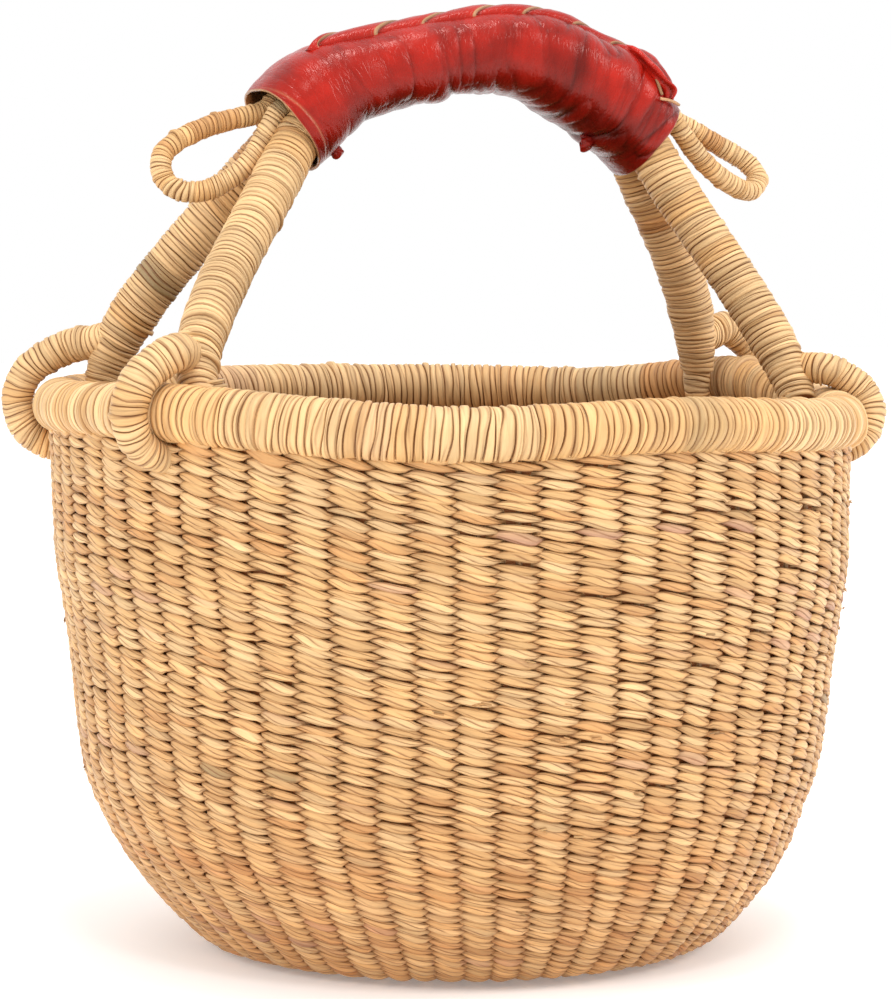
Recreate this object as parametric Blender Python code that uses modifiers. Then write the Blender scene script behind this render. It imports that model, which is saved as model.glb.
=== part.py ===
"""Round twined market basket with a stiff carrying handle under a leather sleeve.

The basket stands on Z = 0 with its axis on Z. The handle spans the mouth along X: two
bound grass arches lie side by side under the sleeve, part below it and end in eyes that
grip the rim. Everything is in metres.
"""

import math

import bmesh
import bpy
import numpy as np
from mathutils import Matrix, Vector

# Gap left between neighbouring pieces, and how far a cutter runs past what it cuts
CLEARANCE = 0.0003
OVERRUN = 0.004
MERGE_DISTANCE = 0.00005

# Woven bowl, measured on its outer face
BASE_RADIUS = 0.070
SHOULDER_RADIUS = 0.121
SHOULDER_HEIGHT = 0.076
WALL_TOP_RADIUS = 0.1287
WEAVE_THICKNESS = 0.0016
# How far the weave dips between neighbouring uprights
RIB_DEPTH = 0.0012
# Bowl outline from the base edge to the shoulder: shares of its rise and of its spread
BOWL_SHARES = (
    (0.00, 0.00),
    (0.02, 0.20),
    (0.10, 0.38),
    (0.28, 0.61),
    (0.42, 0.75),
    (0.58, 0.85),
    (0.77, 0.95),
    (1.00, 1.00),
)

# Stakes, bent double round the weave into pairs of uprights
STAKE_PAIRS = 32
STAKE_THICKNESS = 0.0020
FIRST_BEND_RADIUS = 0.026
ADDED_BEND_RADIUS = 0.050

# Crossed bundles that the base starts from
START_LENGTH = 0.044
START_WIDTH = 0.012
START_UNDER_THICKNESS = 0.0015

# Rim: a grass core bound with straw, open below where the stakes go in
RIM_INSET = 0.0038
RIM_HEIGHT = 0.1731
RIM_THICKNESS = 0.0162
RIM_BINDING_THICKNESS = 0.0018
RIM_STEPS = 48
RIM_ARC_POINTS = 10
RIM_CORE_POINTS = 8

# Eyes, the rings at the ends of the arches that go round the rim
EYE_CORD_RADIUS = 0.0051
EYE_SIDE_GAP = 0.0008
EYE_LOWER_GAP = 0.0019
EYE_UPPER_GAP = 0.0026
EYE_TURN_POINTS = 7
NOTCH_SIDE_GAP = 0.0014
NOTCH_FLOOR_GAP = 0.0022
NOTCH_SIDES = 12

# Grip: an arc of the sleeve's centreline above the mouth
GRIP_RADIUS = 0.0910
GRIP_CENTRE_X = 0.0090
GRIP_CENTRE_HEIGHT = 0.1948
GRIP_HALF_ANGLE = math.radians(44.5)
GRIP_STATIONS = 13

# Arches
ARCH_RADIUS = 0.0072
ARCH_GRIP_RADIUS = 0.0062
ARCH_DROP = 0.0038
FOOT_RADIUS = 0.0042
LEG_STATIONS = 11
# Places down a leg where its thickness changes, as shares of the leg
LEG_FULL_SHARE = 0.20
LEG_TAPER_SHARE = 0.78

# Legs at the two ends of the grip: side of the mouth, angle of an eye from the X axis,
# how much steeper a leg starts than the grip ends, how far it keeps that direction and
# the foot's, the foot's lean from upright, and shares of the pair's parting at both holds
LEFT_END = {
    "side": -1.0,
    "eye_angle": math.radians(26.0),
    "collar_turn": math.radians(7.5),
    "collar_pull": 0.035,
    "foot_pull": 0.028,
    "foot_lean": math.radians(-8.0),
    "parting_shares": (0.30, 0.87),
}
RIGHT_END = {
    "side": 1.0,
    "eye_angle": math.radians(17.0),
    "collar_turn": math.radians(18.0),
    "collar_pull": 0.025,
    "foot_pull": 0.035,
    "foot_lean": math.radians(15.0),
    "parting_shares": (0.23, 0.58),
}

# Straw binding that rounds the grip, and the leather sleeve over it
BINDING_HALF_HEIGHT = 0.0125
BINDING_HALF_DEPTH = 0.0151
BINDING_THICKNESS = 0.0010
BINDING_RECESS = 0.0030
SLEEVE_THICKNESS = 0.0013
GRIP_SWELL = 0.0022
# Where the grip swells: shares of its half angle and of the swell
SWELL_PLACES = (0.30, 0.75, 1.00)
SWELL_SHARES = (0.00, 1.00, 0.60)
SECTION_POINTS = 20
SECTION_POWER = 2.6

# Hanging loops beside the sleeve
LOOP_CORD_RADIUS = 0.0032
LOOP_REACH = 0.038
LOOP_LIFT = 0.0140
LOOP_SPREAD = 0.0040
LOOP_TAIL_RISE = 0.0088
LOOP_TAIL_STATIONS = 4
LOOP_STEPS = 24
# Route of a loop from one tail to the other: shares of reach, lift and spread
LOOP_SHARES = (
    (0.10, 0.17, 1.00),
    (0.28, 0.61, 1.00),
    (0.58, 0.97, 0.75),
    (0.86, 1.02, 0.25),
    (0.99, 0.75, 0.00),
    (1.01, 0.38, -0.25),
    (0.90, 0.04, -0.75),
    (0.67, -0.16, -1.20),
    (0.36, -0.11, -1.25),
    (0.13, -0.03, -1.10),
)

# Lace along the top of the sleeve and the knots under its ends
LACE_RADIUS = 0.0018
LACE_SWELL_SHARE = 0.25
LACE_STITCHES = 9
LACE_SIDE_OFFSET = 0.0040
LACE_LEFT_ANGLE = math.radians(29.0)
LACE_RIGHT_ANGLE = math.radians(42.0)
KNOT_RADIUS = 0.0030
KNOT_GAP = 0.0007
KNOT_LEFT_ANGLE = math.radians(38.0)
KNOT_RIGHT_ANGLE = math.radians(35.0)
KNOT_RESOLUTION = 2

# Sides of the bound tubes, as bevel resolutions
ARCH_RESOLUTION = 3
CORD_RESOLUTION = 2
LOOP_RESOLUTION = 1
STAKE_RESOLUTION = 0
SMOOTH_ANGLE = math.radians(40.0)

# Derived sizes
RIM_RADIUS = WALL_TOP_RADIUS - RIM_INSET
RIM_TUBE_RADIUS = RIM_THICKNESS / 2
RIM_CORE_RADIUS = RIM_TUBE_RADIUS - RIM_BINDING_THICKNESS - CLEARANCE
WALL_TOP_HEIGHT = RIM_HEIGHT - RIM_TUBE_RADIUS - CLEARANCE
STAKE_DEPTH = WEAVE_THICKNESS + 2 * CLEARANCE + STAKE_THICKNESS / 2
INNER_FACE_DEPTH = 2 * STAKE_DEPTH - WEAVE_THICKNESS
WALL_THICKNESS = INNER_FACE_DEPTH + WEAVE_THICKNESS
EYE_TURN_RADIUS = RIM_TUBE_RADIUS + EYE_SIDE_GAP + EYE_CORD_RADIUS
EYE_FLOOR = RIM_HEIGHT - RIM_TUBE_RADIUS - EYE_LOWER_GAP - EYE_CORD_RADIUS
EYE_CEILING = RIM_HEIGHT + RIM_TUBE_RADIUS + EYE_UPPER_GAP + EYE_CORD_RADIUS
FOOT_DISTANCE = RIM_RADIUS - EYE_TURN_RADIUS
FOOT_HEIGHT = EYE_CEILING - EYE_TURN_RADIUS
ARCH_SPACING = 2 * ARCH_GRIP_RADIUS + CLEARANCE
LOOP_TAIL_SPACING = 2 * LOOP_CORD_RADIUS + CLEARANCE
SLEEVE_HALF_HEIGHT = BINDING_HALF_HEIGHT + CLEARANCE + SLEEVE_THICKNESS
SLEEVE_HALF_DEPTH = BINDING_HALF_DEPTH + CLEARANCE + SLEEVE_THICKNESS

# Colour, roughness
STRAW = ((0.78, 0.55, 0.29), 0.65)
PALE_STRAW = ((0.84, 0.66, 0.40), 0.60)
GRASS_CORE = ((0.60, 0.44, 0.23), 0.80)
RED_LEATHER = ((0.55, 0.035, 0.02), 0.38)


def clear_scene():
    """Take every object out of the open scene."""
    for thing in list(bpy.data.objects):
        bpy.data.objects.remove(thing, do_unlink=True)


def new_collection(name):
    """A collection linked to the scene."""
    collection = bpy.data.collections.new(name)
    bpy.context.scene.collection.children.link(collection)
    return collection


def finish(thing, name, look, collection):
    """Name an object, give it its own material and file it in a collection."""
    colour, roughness = look
    material = bpy.data.materials.new(name + "_finish")
    material.use_nodes = True
    shader = material.node_tree.nodes["Principled BSDF"]
    shader.inputs["Base Color"].default_value = (*colour, 1.0)
    shader.inputs["Roughness"].default_value = roughness
    shader.inputs["Metallic"].default_value = 0.0
    thing.name = name
    thing.data.name = name
    thing.data.materials.clear()
    thing.data.materials.append(material)
    for holder in list(thing.users_collection):
        holder.objects.unlink(thing)
    collection.objects.link(thing)
    return thing


def file_cutter(thing, collection):
    """File a cutter away from the parts, out of the render."""
    for holder in list(thing.users_collection):
        holder.objects.unlink(thing)
    collection.objects.link(thing)
    thing.hide_render = True
    thing.display_type = "WIRE"
    return thing


def object_from_bmesh(name, shape):
    """A scene object that holds a bmesh."""
    mesh = bpy.data.meshes.new(name)
    shape.to_mesh(mesh)
    shape.free()
    mesh.shade_smooth()
    mesh.set_sharp_from_angle(angle=SMOOTH_ANGLE)
    thing = bpy.data.objects.new(name, mesh)
    bpy.context.scene.collection.objects.link(thing)
    return thing


def turned(name, profile, steps, closed):
    """A profile of radius and height turned about Z; closed joins its ends."""
    count = len(profile)
    corners = [(radius, 0.0, height) for radius, height in profile]
    edges = [(i, i + 1) for i in range(count - 1)]
    if closed:
        edges.append((count - 1, 0))
    mesh = bpy.data.meshes.new(name)
    mesh.from_pydata(corners, edges, [])
    thing = bpy.data.objects.new(name, mesh)
    bpy.context.scene.collection.objects.link(thing)
    screw = thing.modifiers.new("Turn", "SCREW")
    screw.steps = steps
    screw.render_steps = steps
    screw.use_merge_vertices = True
    screw.merge_threshold = MERGE_DISTANCE
    screw.use_smooth_shade = True
    return thing


def tube(name, points, radii, resolution, cyclic=False):
    """A bound bundle or cord: a bevelled poly line with capped ends."""
    curve = bpy.data.curves.new(name, "CURVE")
    curve.dimensions = "3D"
    curve.bevel_depth = 1.0
    curve.bevel_resolution = resolution
    curve.use_fill_caps = not cyclic
    spline = curve.splines.new("POLY")
    spline.points.add(len(points) - 1)
    for knot, place, radius in zip(spline.points, points, radii):
        knot.co = (*place, 1.0)
        knot.radius = radius
    spline.use_cyclic_u = cyclic
    spline.use_smooth = True
    thing = bpy.data.objects.new(name, curve)
    bpy.context.scene.collection.objects.link(thing)
    return thing


def as_mesh(thing):
    """The same object as a welded mesh, so that it can be joined or cut."""
    bpy.context.view_layer.update()
    evaluated = thing.evaluated_get(bpy.context.evaluated_depsgraph_get())
    mesh = bpy.data.meshes.new_from_object(evaluated)
    shape = bmesh.new()
    shape.from_mesh(mesh)
    bmesh.ops.remove_doubles(shape, verts=shape.verts, dist=MERGE_DISTANCE)
    shape.to_mesh(mesh)
    shape.free()
    solid = bpy.data.objects.new(thing.name, mesh)
    bpy.context.scene.collection.objects.link(solid)
    solid.matrix_world = thing.matrix_world.copy()
    bpy.data.objects.remove(thing, do_unlink=True)
    return solid


def combine(target, tool, operation):
    """Join a tool to a target or cut it away."""
    step = target.modifiers.new(operation.title() + " " + tool.name, "BOOLEAN")
    step.operation = operation
    step.solver = "EXACT"
    step.object = tool


def bowl_outline():
    """Radius and height of the bowl's outer face, from its middle to the top of the wall."""
    spread = SHOULDER_RADIUS - BASE_RADIUS
    outline = [(0.0, 0.0)]
    for rise_share, spread_share in BOWL_SHARES:
        outline.append((BASE_RADIUS + spread_share * spread, rise_share * SHOULDER_HEIGHT))
    outline.append((WALL_TOP_RADIUS, WALL_TOP_HEIGHT))
    return np.array(outline)


def inset(outline, depth):
    """The outline moved into the wall by depth, with mitred corners and a level top."""
    along = np.diff(outline, axis=0)
    along /= np.linalg.norm(along, axis=1)[:, None]
    inward = np.stack([-along[:, 1], along[:, 0]], axis=1)
    first = np.vstack([inward[:1], inward])
    second = np.vstack([inward, inward[-1:]])
    mitre = first + second
    mitre /= np.linalg.norm(mitre, axis=1)[:, None]
    moved = outline + mitre * (depth / np.sum(mitre * first, axis=1))[:, None]
    drop = (outline[-1, 1] - moved[-1, 1]) / along[-1, 1]
    moved[-1] += drop * along[-1]
    return moved


def ribbed_skin(depth, dip, angles):
    """Rings of a skin inside the bowl's outline: at depth on every second angle and dip
    deeper between them, but level under the base."""
    crest = inset(bowl_outline(), depth)[1:]
    valley = inset(bowl_outline(), depth + dip)[1:]
    valley[0] = crest[0]
    profiles = np.stack([crest, valley] * (len(angles) // 2), axis=1)
    turn = np.stack([np.cos(angles), np.sin(angles)], axis=1)
    return np.dstack([profiles[..., :1] * turn, profiles[..., 1:]])


def make_weave_face(name, depth, dip, cutters, parts):
    """One face of the twined weave: a shell with a rib over every upright, notched under
    each eye."""
    ribs = 2 * STAKE_PAIRS
    columns = 2 * ribs
    angles = (np.arange(columns) + 1) * 2 * math.pi / columns
    outer = ribbed_skin(depth, dip, angles)
    inner = ribbed_skin(depth + WEAVE_THICKNESS, dip, angles)
    rings = np.vstack([outer, inner[::-1]])
    steps = np.arange(columns)
    follow = np.roll(steps, -1)
    starts = np.arange(len(rings) - 1)[:, None] * columns
    order = (steps, follow, columns + follow, columns + steps)
    walls = np.stack([starts + corner for corner in order], axis=-1).reshape(-1, 4)
    bottom = steps[::-1].tolist()
    floor = ((len(rings) - 1) * columns + steps).tolist()
    mesh = bpy.data.meshes.new(name)
    mesh.from_pydata(rings.reshape(-1, 3).tolist(), [], [bottom, floor, *walls.tolist()])
    mesh.shade_smooth()
    mesh.set_sharp_from_angle(angle=SMOOTH_ANGLE)
    face = bpy.data.objects.new(name, mesh)
    bpy.context.scene.collection.objects.link(face)
    for cutter in cutters:
        combine(face, cutter, "DIFFERENCE")
    return finish(face, name, STRAW, parts)


def eye_angles():
    """Angles of the four eyes about Z: front left, back left, front right, back right."""
    left = LEFT_END["eye_angle"]
    right = RIGHT_END["eye_angle"]
    return (math.pi + left, math.pi - left, -right, right)


def notch_size():
    """Half width of the notch for an eye and the height of its lowest point."""
    half_width = EYE_CORD_RADIUS + NOTCH_SIDE_GAP
    return half_width, EYE_FLOOR - EYE_CORD_RADIUS - NOTCH_FLOOR_GAP


def make_notch_cutter(angle, cutters):
    """A round-bottomed prism through the wall, from the notch's floor past the top edge."""
    half_width, lowest = notch_size()
    shape = bmesh.new()
    bmesh.ops.create_cone(
        shape,
        cap_ends=True,
        segments=NOTCH_SIDES,
        radius1=half_width,
        radius2=half_width,
        depth=WALL_THICKNESS * 2 + OVERRUN,
        matrix=Matrix.Rotation(math.pi / 2, 4, "Y"),
    )
    rise = WALL_TOP_HEIGHT + OVERRUN - lowest - half_width
    for corner in shape.verts:
        if corner.co.z > MERGE_DISTANCE:
            corner.co.z += rise
    cutter = object_from_bmesh("eye_notch", shape)
    cutter.location = (
        (WALL_TOP_RADIUS - WALL_THICKNESS / 2) * math.cos(angle),
        (WALL_TOP_RADIUS - WALL_THICKNESS / 2) * math.sin(angle),
        lowest + half_width,
    )
    cutter.rotation_euler = (0.0, 0.0, angle)
    return file_cutter(cutter, cutters)


def stake_top(angle, route):
    """Height where an upright ends: under the rim's core, or under the notch it meets."""
    half_width, lowest = notch_size()
    reach = math.asin((half_width + STAKE_THICKNESS / 2 + CLEARANCE) / WALL_TOP_RADIUS)
    for eye in eye_angles():
        apart = (angle - eye + math.pi) % (2 * math.pi) - math.pi
        if abs(apart) < reach:
            return lowest - CLEARANCE
    offset = route[-1, 0] - RIM_RADIUS + STAKE_THICKNESS / 2
    return RIM_HEIGHT - math.hypot(RIM_CORE_RADIUS, offset) - CLEARANCE


def upright(angle, bend_radius):
    """Points of one upright from its bend under the base to its end under the rim."""
    route = inset(bowl_outline(), STAKE_DEPTH)
    lean = (route[-1] - route[-2]) / (route[-1, 1] - route[-2, 1])
    route[-1] += lean * (stake_top(angle, route) - route[-1, 1])
    route[0, 0] = bend_radius
    turn = np.array([math.cos(angle), math.sin(angle)])
    return np.column_stack([route[:, :1] * turn, route[:, 1]])


def make_stake_pairs(parts):
    """The stakes between the two faces of the weave, each bent into two uprights."""
    pitch = math.pi / STAKE_PAIRS
    pairs = []
    for number in range(STAKE_PAIRS):
        bend_radius = ADDED_BEND_RADIUS if number % 2 else FIRST_BEND_RADIUS
        first = upright((2 * number + 0.5) * pitch, bend_radius)
        second = upright((2 * number + 1.5) * pitch, bend_radius)
        points = np.vstack([first[::-1], second])
        radii = np.full(len(points), STAKE_THICKNESS / 2)
        name = "stake_pair_%02d" % (number + 1)
        pair = tube(name, points, radii, STAKE_RESOLUTION)
        pairs.append(finish(pair, name, GRASS_CORE, parts))
    return pairs


def make_bar(name, length, width, thickness):
    """A flat bundle centred on the origin, lying along X."""
    shape = bmesh.new()
    bmesh.ops.create_cube(shape, size=1.0)
    bmesh.ops.scale(shape, vec=Vector((length, width, thickness)), verts=shape.verts)
    return object_from_bmesh(name, shape)


def make_base_start(cutters, parts):
    """Two flat bundles crossed at the middle of the base, where the weaving starts."""
    over = make_bar("base_start", START_LENGTH, START_WIDTH, STAKE_THICKNESS)
    under = make_bar("base_start_under", START_WIDTH, START_LENGTH, START_UNDER_THICKNESS)
    over.location = under.location = (0.0, 0.0, STAKE_DEPTH)
    file_cutter(under, cutters)
    combine(over, under, "UNION")
    return finish(over, "base_start", GRASS_CORE, parts)


def make_rim_core(parts):
    """The grass ring that the stakes' ends run up to."""
    bpy.ops.mesh.primitive_torus_add(
        major_segments=RIM_STEPS,
        minor_segments=RIM_CORE_POINTS,
        major_radius=RIM_RADIUS,
        minor_radius=RIM_CORE_RADIUS,
        location=(0.0, 0.0, RIM_HEIGHT),
    )
    core = bpy.context.object
    core.data.shade_smooth()
    return finish(core, "rim_core", GRASS_CORE, parts)


def make_rim_binding(parts):
    """The straw bound round the core: a C-shaped ring, open below for the stakes."""
    stakes = inset(bowl_outline(), STAKE_DEPTH)[-1, 0] - RIM_RADIUS
    half_slot = STAKE_THICKNESS / 2 + 2 * CLEARANCE
    half_step = math.pi / (RIM_ARC_POINTS - 1)
    inner_radius = (RIM_CORE_RADIUS + CLEARANCE) / math.cos(half_step)
    arcs = []
    for radius in (RIM_TUBE_RADIUS, inner_radius):
        start = -math.pi / 2 + math.asin((stakes - half_slot) / radius)
        end = -math.pi / 2 + math.asin((stakes + half_slot) / radius) - 2 * math.pi
        turn = np.linspace(start, end, RIM_ARC_POINTS)
        radial = RIM_RADIUS + radius * np.cos(turn)
        arcs.append(np.column_stack([radial, RIM_HEIGHT + radius * np.sin(turn)]))
    profile = np.vstack([arcs[0], arcs[1][::-1]])
    binding = turned("rim_binding", profile, RIM_STEPS, closed=True)
    return finish(binding, "rim_binding", PALE_STRAW, parts)


def grip_point(angle, rise, side):
    """A point of the grip: angle from its crown towards +X, rise off its centreline."""
    distance = GRIP_RADIUS + rise
    return np.array(
        [
            GRIP_CENTRE_X + distance * math.sin(angle),
            side,
            GRIP_CENTRE_HEIGHT + distance * math.cos(angle),
        ]
    )


def foot_point(end, side):
    """Where a leg runs into the inner branch of its eye; side is -1 in front, 1 behind."""
    angle = end["eye_angle"]
    return np.array(
        [
            end["side"] * FOOT_DISTANCE * math.cos(angle),
            side * FOOT_DISTANCE * math.sin(angle),
            FOOT_HEIGHT,
        ]
    )


def leg_route(end, side):
    """A cubic Bezier from the sleeve's edge to the foot, and the thickness along it."""
    collar_angle = end["side"] * GRIP_HALF_ANGLE
    collar = grip_point(collar_angle, -ARCH_DROP, side * ARCH_SPACING / 2)
    foot = foot_point(end, side)
    fall = GRIP_HALF_ANGLE + end["collar_turn"]
    outward = np.array([end["side"] * math.cos(fall), 0.0, -math.sin(fall)])
    lean = end["foot_lean"]
    upward = np.array([-end["side"] * math.sin(lean), 0.0, math.cos(lean)])
    collar_hold = collar + end["collar_pull"] * outward
    foot_hold = foot + end["foot_pull"] * upward
    collar_share, foot_share = end["parting_shares"]
    collar_hold[1] = collar[1] + collar_share * (foot[1] - collar[1])
    foot_hold[1] = collar[1] + foot_share * (foot[1] - collar[1])
    share = np.linspace(0.0, 1.0, LEG_STATIONS)
    away = 1.0 - share
    weights = (away**3, 3 * away**2 * share, 3 * away * share**2, share**3)
    holds = (collar, collar_hold, foot_hold, foot)
    points = sum(weight[:, None] * hold for weight, hold in zip(weights, holds))
    radii = np.interp(
        share,
        (0.0, LEG_FULL_SHARE, LEG_TAPER_SHARE, 1.0),
        (ARCH_GRIP_RADIUS, ARCH_RADIUS, ARCH_RADIUS, FOOT_RADIUS),
    )
    return points, radii


def grip_angles(recess):
    """Angles of the grip's stations, stopping short of the sleeve's edges by recess."""
    reach = GRIP_HALF_ANGLE - recess / GRIP_RADIUS
    return np.linspace(-reach, reach, GRIP_STATIONS)


def eye_route(angle):
    """A ring round the rim in the upright plane at an angle: two half turns, two straights."""
    turn = np.linspace(0.0, math.pi, EYE_TURN_POINTS)
    top = EYE_CEILING - EYE_TURN_RADIUS + EYE_TURN_RADIUS * np.sin(turn)
    bottom = EYE_FLOOR + EYE_TURN_RADIUS - EYE_TURN_RADIUS * np.sin(turn)
    distance = RIM_RADIUS + EYE_TURN_RADIUS * np.cos(turn)
    distances = np.concatenate([distance, distance[::-1]])
    heights = np.concatenate([top, bottom])
    return np.column_stack([distances * math.cos(angle), distances * math.sin(angle), heights])


def make_arch(name, side, cutters, parts):
    """One grass arch with an eye at each foot; side is -1 in front, 1 behind."""
    left, left_radii = leg_route(LEFT_END, side)
    right, right_radii = leg_route(RIGHT_END, side)
    stations = grip_angles(BINDING_RECESS)
    offset = side * ARCH_SPACING / 2
    middle = np.array([grip_point(angle, -ARCH_DROP, offset) for angle in stations])
    middle_radii = np.full(len(middle), ARCH_GRIP_RADIUS)
    points = np.vstack([left[::-1], middle, right])
    radii = np.concatenate([left_radii[::-1], middle_radii, right_radii])
    arch = as_mesh(tube(name, points, radii, ARCH_RESOLUTION))
    for end in (LEFT_END, RIGHT_END):
        foot = foot_point(end, side)
        route = eye_route(math.atan2(foot[1], foot[0]))
        eye_radii = np.full(len(route), EYE_CORD_RADIUS)
        eye = as_mesh(tube(name + "_eye", route, eye_radii, CORD_RESOLUTION, cyclic=True))
        file_cutter(eye, cutters)
        combine(arch, eye, "UNION")
    return finish(arch, name, PALE_STRAW, parts)


def section(half_height, half_depth):
    """Rise and side of a superellipse round the grip's centreline."""
    turn = np.linspace(0.0, 2 * math.pi, SECTION_POINTS, endpoint=False)
    power = 2.0 / SECTION_POWER
    rise = half_height * np.sign(np.sin(turn)) * np.abs(np.sin(turn)) ** power
    side = half_depth * np.sign(np.cos(turn)) * np.abs(np.cos(turn)) ** power
    return rise, side


def lofted(name, rings):
    """A closed skin through rings of equal count, the last joined to the first."""
    shape = bmesh.new()
    rows = [[shape.verts.new(tuple(point)) for point in ring] for ring in rings]
    count = len(rows[0])
    for row, following in zip(rows, rows[1:] + rows[:1]):
        for i in range(count):
            j = (i + 1) % count
            shape.faces.new((row[i], row[j], following[j], following[i]))
    bmesh.ops.recalc_face_normals(shape, faces=shape.faces)
    return object_from_bmesh(name, shape)


def section_ring(angle, half_height, half_depth):
    """The superellipse stood across the grip at an angle."""
    rises, sides = section(half_height, half_depth)
    return [grip_point(angle, rise, side) for rise, side in zip(rises, sides)]


def grip_shell(name, stations, swells, half_height, half_depth, wall):
    """An open-ended tube along the grip, larger at each station by its swell."""
    outer = []
    inner = []
    for angle, swell in zip(stations, swells):
        outer.append(section_ring(angle, half_height + swell, half_depth + swell))
        inner.append(section_ring(angle, half_height + swell - wall, half_depth + swell - wall))
    return lofted(name, outer + inner[::-1])


def grip_swell(angles):
    """How much the grip is thicker at each angle than at its crown."""
    return GRIP_SWELL * np.interp(np.abs(angles) / GRIP_HALF_ANGLE, SWELL_PLACES, SWELL_SHARES)


def make_grip_binding(parts):
    """The straw bound round the arches and the loops' tails, which rounds the grip."""
    stations = grip_angles(BINDING_RECESS)
    binding = grip_shell(
        "grip_binding",
        stations,
        grip_swell(stations),
        BINDING_HALF_HEIGHT,
        BINDING_HALF_DEPTH,
        BINDING_THICKNESS,
    )
    return finish(binding, "grip_binding", STRAW, parts)


def tail_stations(end):
    """Angles of a loop's tail, from its hidden end out to the binding's edge."""
    stations = grip_angles(BINDING_RECESS)
    if end["side"] > 0:
        return stations[-LOOP_TAIL_STATIONS:]
    return stations[:LOOP_TAIL_STATIONS][::-1]


def through_points(knots, count):
    """Points at even steps of a Catmull-Rom curve through the knots."""
    knots = np.asarray(knots)
    ends = (2 * knots[:1] - knots[1:2], 2 * knots[-1:] - knots[-2:-1])
    held = np.vstack([ends[0], knots, ends[1]])
    place = np.linspace(0.0, len(knots) - 1.0, count)
    first = np.minimum(place.astype(int), len(knots) - 2)
    share = (place - first)[:, None]
    a, b, c, d = (held[first + step] for step in range(4))
    return 0.5 * (
        2 * b
        + (c - a) * share
        + (2 * a - 5 * b + 4 * c - d) * share**2
        + (3 * b - a - 3 * c + d) * share**3
    )


def make_hanging_loop(name, end, parts):
    """A bound cord loop beside the sleeve, both tails tucked in on top of the arches."""
    collar_angle = end["side"] * GRIP_HALF_ANGLE
    along = np.array([math.cos(collar_angle) * end["side"], 0.0, -math.sin(GRIP_HALF_ANGLE)])
    lift = np.array([math.sin(collar_angle), 0.0, math.cos(collar_angle)])
    across = np.array([0.0, 1.0, 0.0])
    half = LOOP_TAIL_SPACING / 2
    start = grip_point(collar_angle, LOOP_TAIL_RISE, 0.0)
    knots = [start + half * across]
    for reach, rise, spread in LOOP_SHARES:
        offset = reach * LOOP_REACH * along + rise * LOOP_LIFT * lift
        knots.append(start + offset + spread * LOOP_SPREAD * across)
    knots.append(start - half * across)
    loop = through_points(knots, LOOP_STEPS)
    angles = tail_stations(end)
    first_tail = np.array([grip_point(angle, LOOP_TAIL_RISE, half) for angle in angles])
    second_tail = np.array([grip_point(angle, LOOP_TAIL_RISE, -half) for angle in angles])
    points = np.vstack([first_tail, loop, second_tail[::-1]])
    radii = np.full(len(points), LOOP_CORD_RADIUS)
    return finish(tube(name, points, radii, LOOP_RESOLUTION), name, PALE_STRAW, parts)


def make_grip_leather(parts):
    """The sleeve: a tube of leather over the binding, open at both edges."""
    edges = ([-GRIP_HALF_ANGLE], [GRIP_HALF_ANGLE])
    stations = np.concatenate([edges[0], grip_angles(BINDING_RECESS), edges[1]])
    sleeve = grip_shell(
        "grip_leather",
        stations,
        grip_swell(stations),
        SLEEVE_HALF_HEIGHT,
        SLEEVE_HALF_DEPTH,
        SLEEVE_THICKNESS,
    )
    return finish(sleeve, "grip_leather", RED_LEATHER, parts)


def make_grip_lace(parts):
    """The lace whipped along the top of the sleeve, swelling at each stitch."""
    stitch = np.linspace(0.0, LACE_STITCHES, 2 * LACE_STITCHES + 1)
    angles = np.interp(stitch, (0.0, LACE_STITCHES), (-LACE_LEFT_ANGLE, LACE_RIGHT_ANGLE))
    radii = LACE_RADIUS * (1 + LACE_SWELL_SHARE * np.sin(stitch * math.pi) ** 2)
    level = (1 - (LACE_SIDE_OFFSET / SLEEVE_HALF_DEPTH) ** SECTION_POWER) ** (1 / SECTION_POWER)
    rises = (SLEEVE_HALF_HEIGHT + grip_swell(angles)) * level + CLEARANCE + radii
    points = [
        grip_point(angle, rise, -LACE_SIDE_OFFSET) for angle, rise in zip(angles, rises)
    ]
    lace = tube("grip_lace", points, radii, LOOP_RESOLUTION)
    return finish(lace, "grip_lace", RED_LEATHER, parts)


def make_lace_knot(name, angle, parts):
    """A knot of lace tied off under the sleeve."""
    shape = bmesh.new()
    bmesh.ops.create_icosphere(shape, subdivisions=KNOT_RESOLUTION, radius=KNOT_RADIUS)
    knot = object_from_bmesh(name, shape)
    underside = -SLEEVE_HALF_HEIGHT - grip_swell(angle)
    knot.location = grip_point(angle, underside - KNOT_GAP - KNOT_RADIUS, 0.0)
    return finish(knot, name, RED_LEATHER, parts)


def hang_on_hinge(pieces, collection):
    """Parent the handle's pieces to an empty on the axis that the handle rocks about."""
    hinge = bpy.data.objects.new("handle_hinge", None)
    hinge.location = (0.0, 0.0, RIM_HEIGHT)
    collection.objects.link(hinge)
    bpy.context.view_layer.update()
    for piece in pieces:
        piece.parent = hinge
        piece.matrix_parent_inverse = hinge.matrix_world.inverted()


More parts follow.
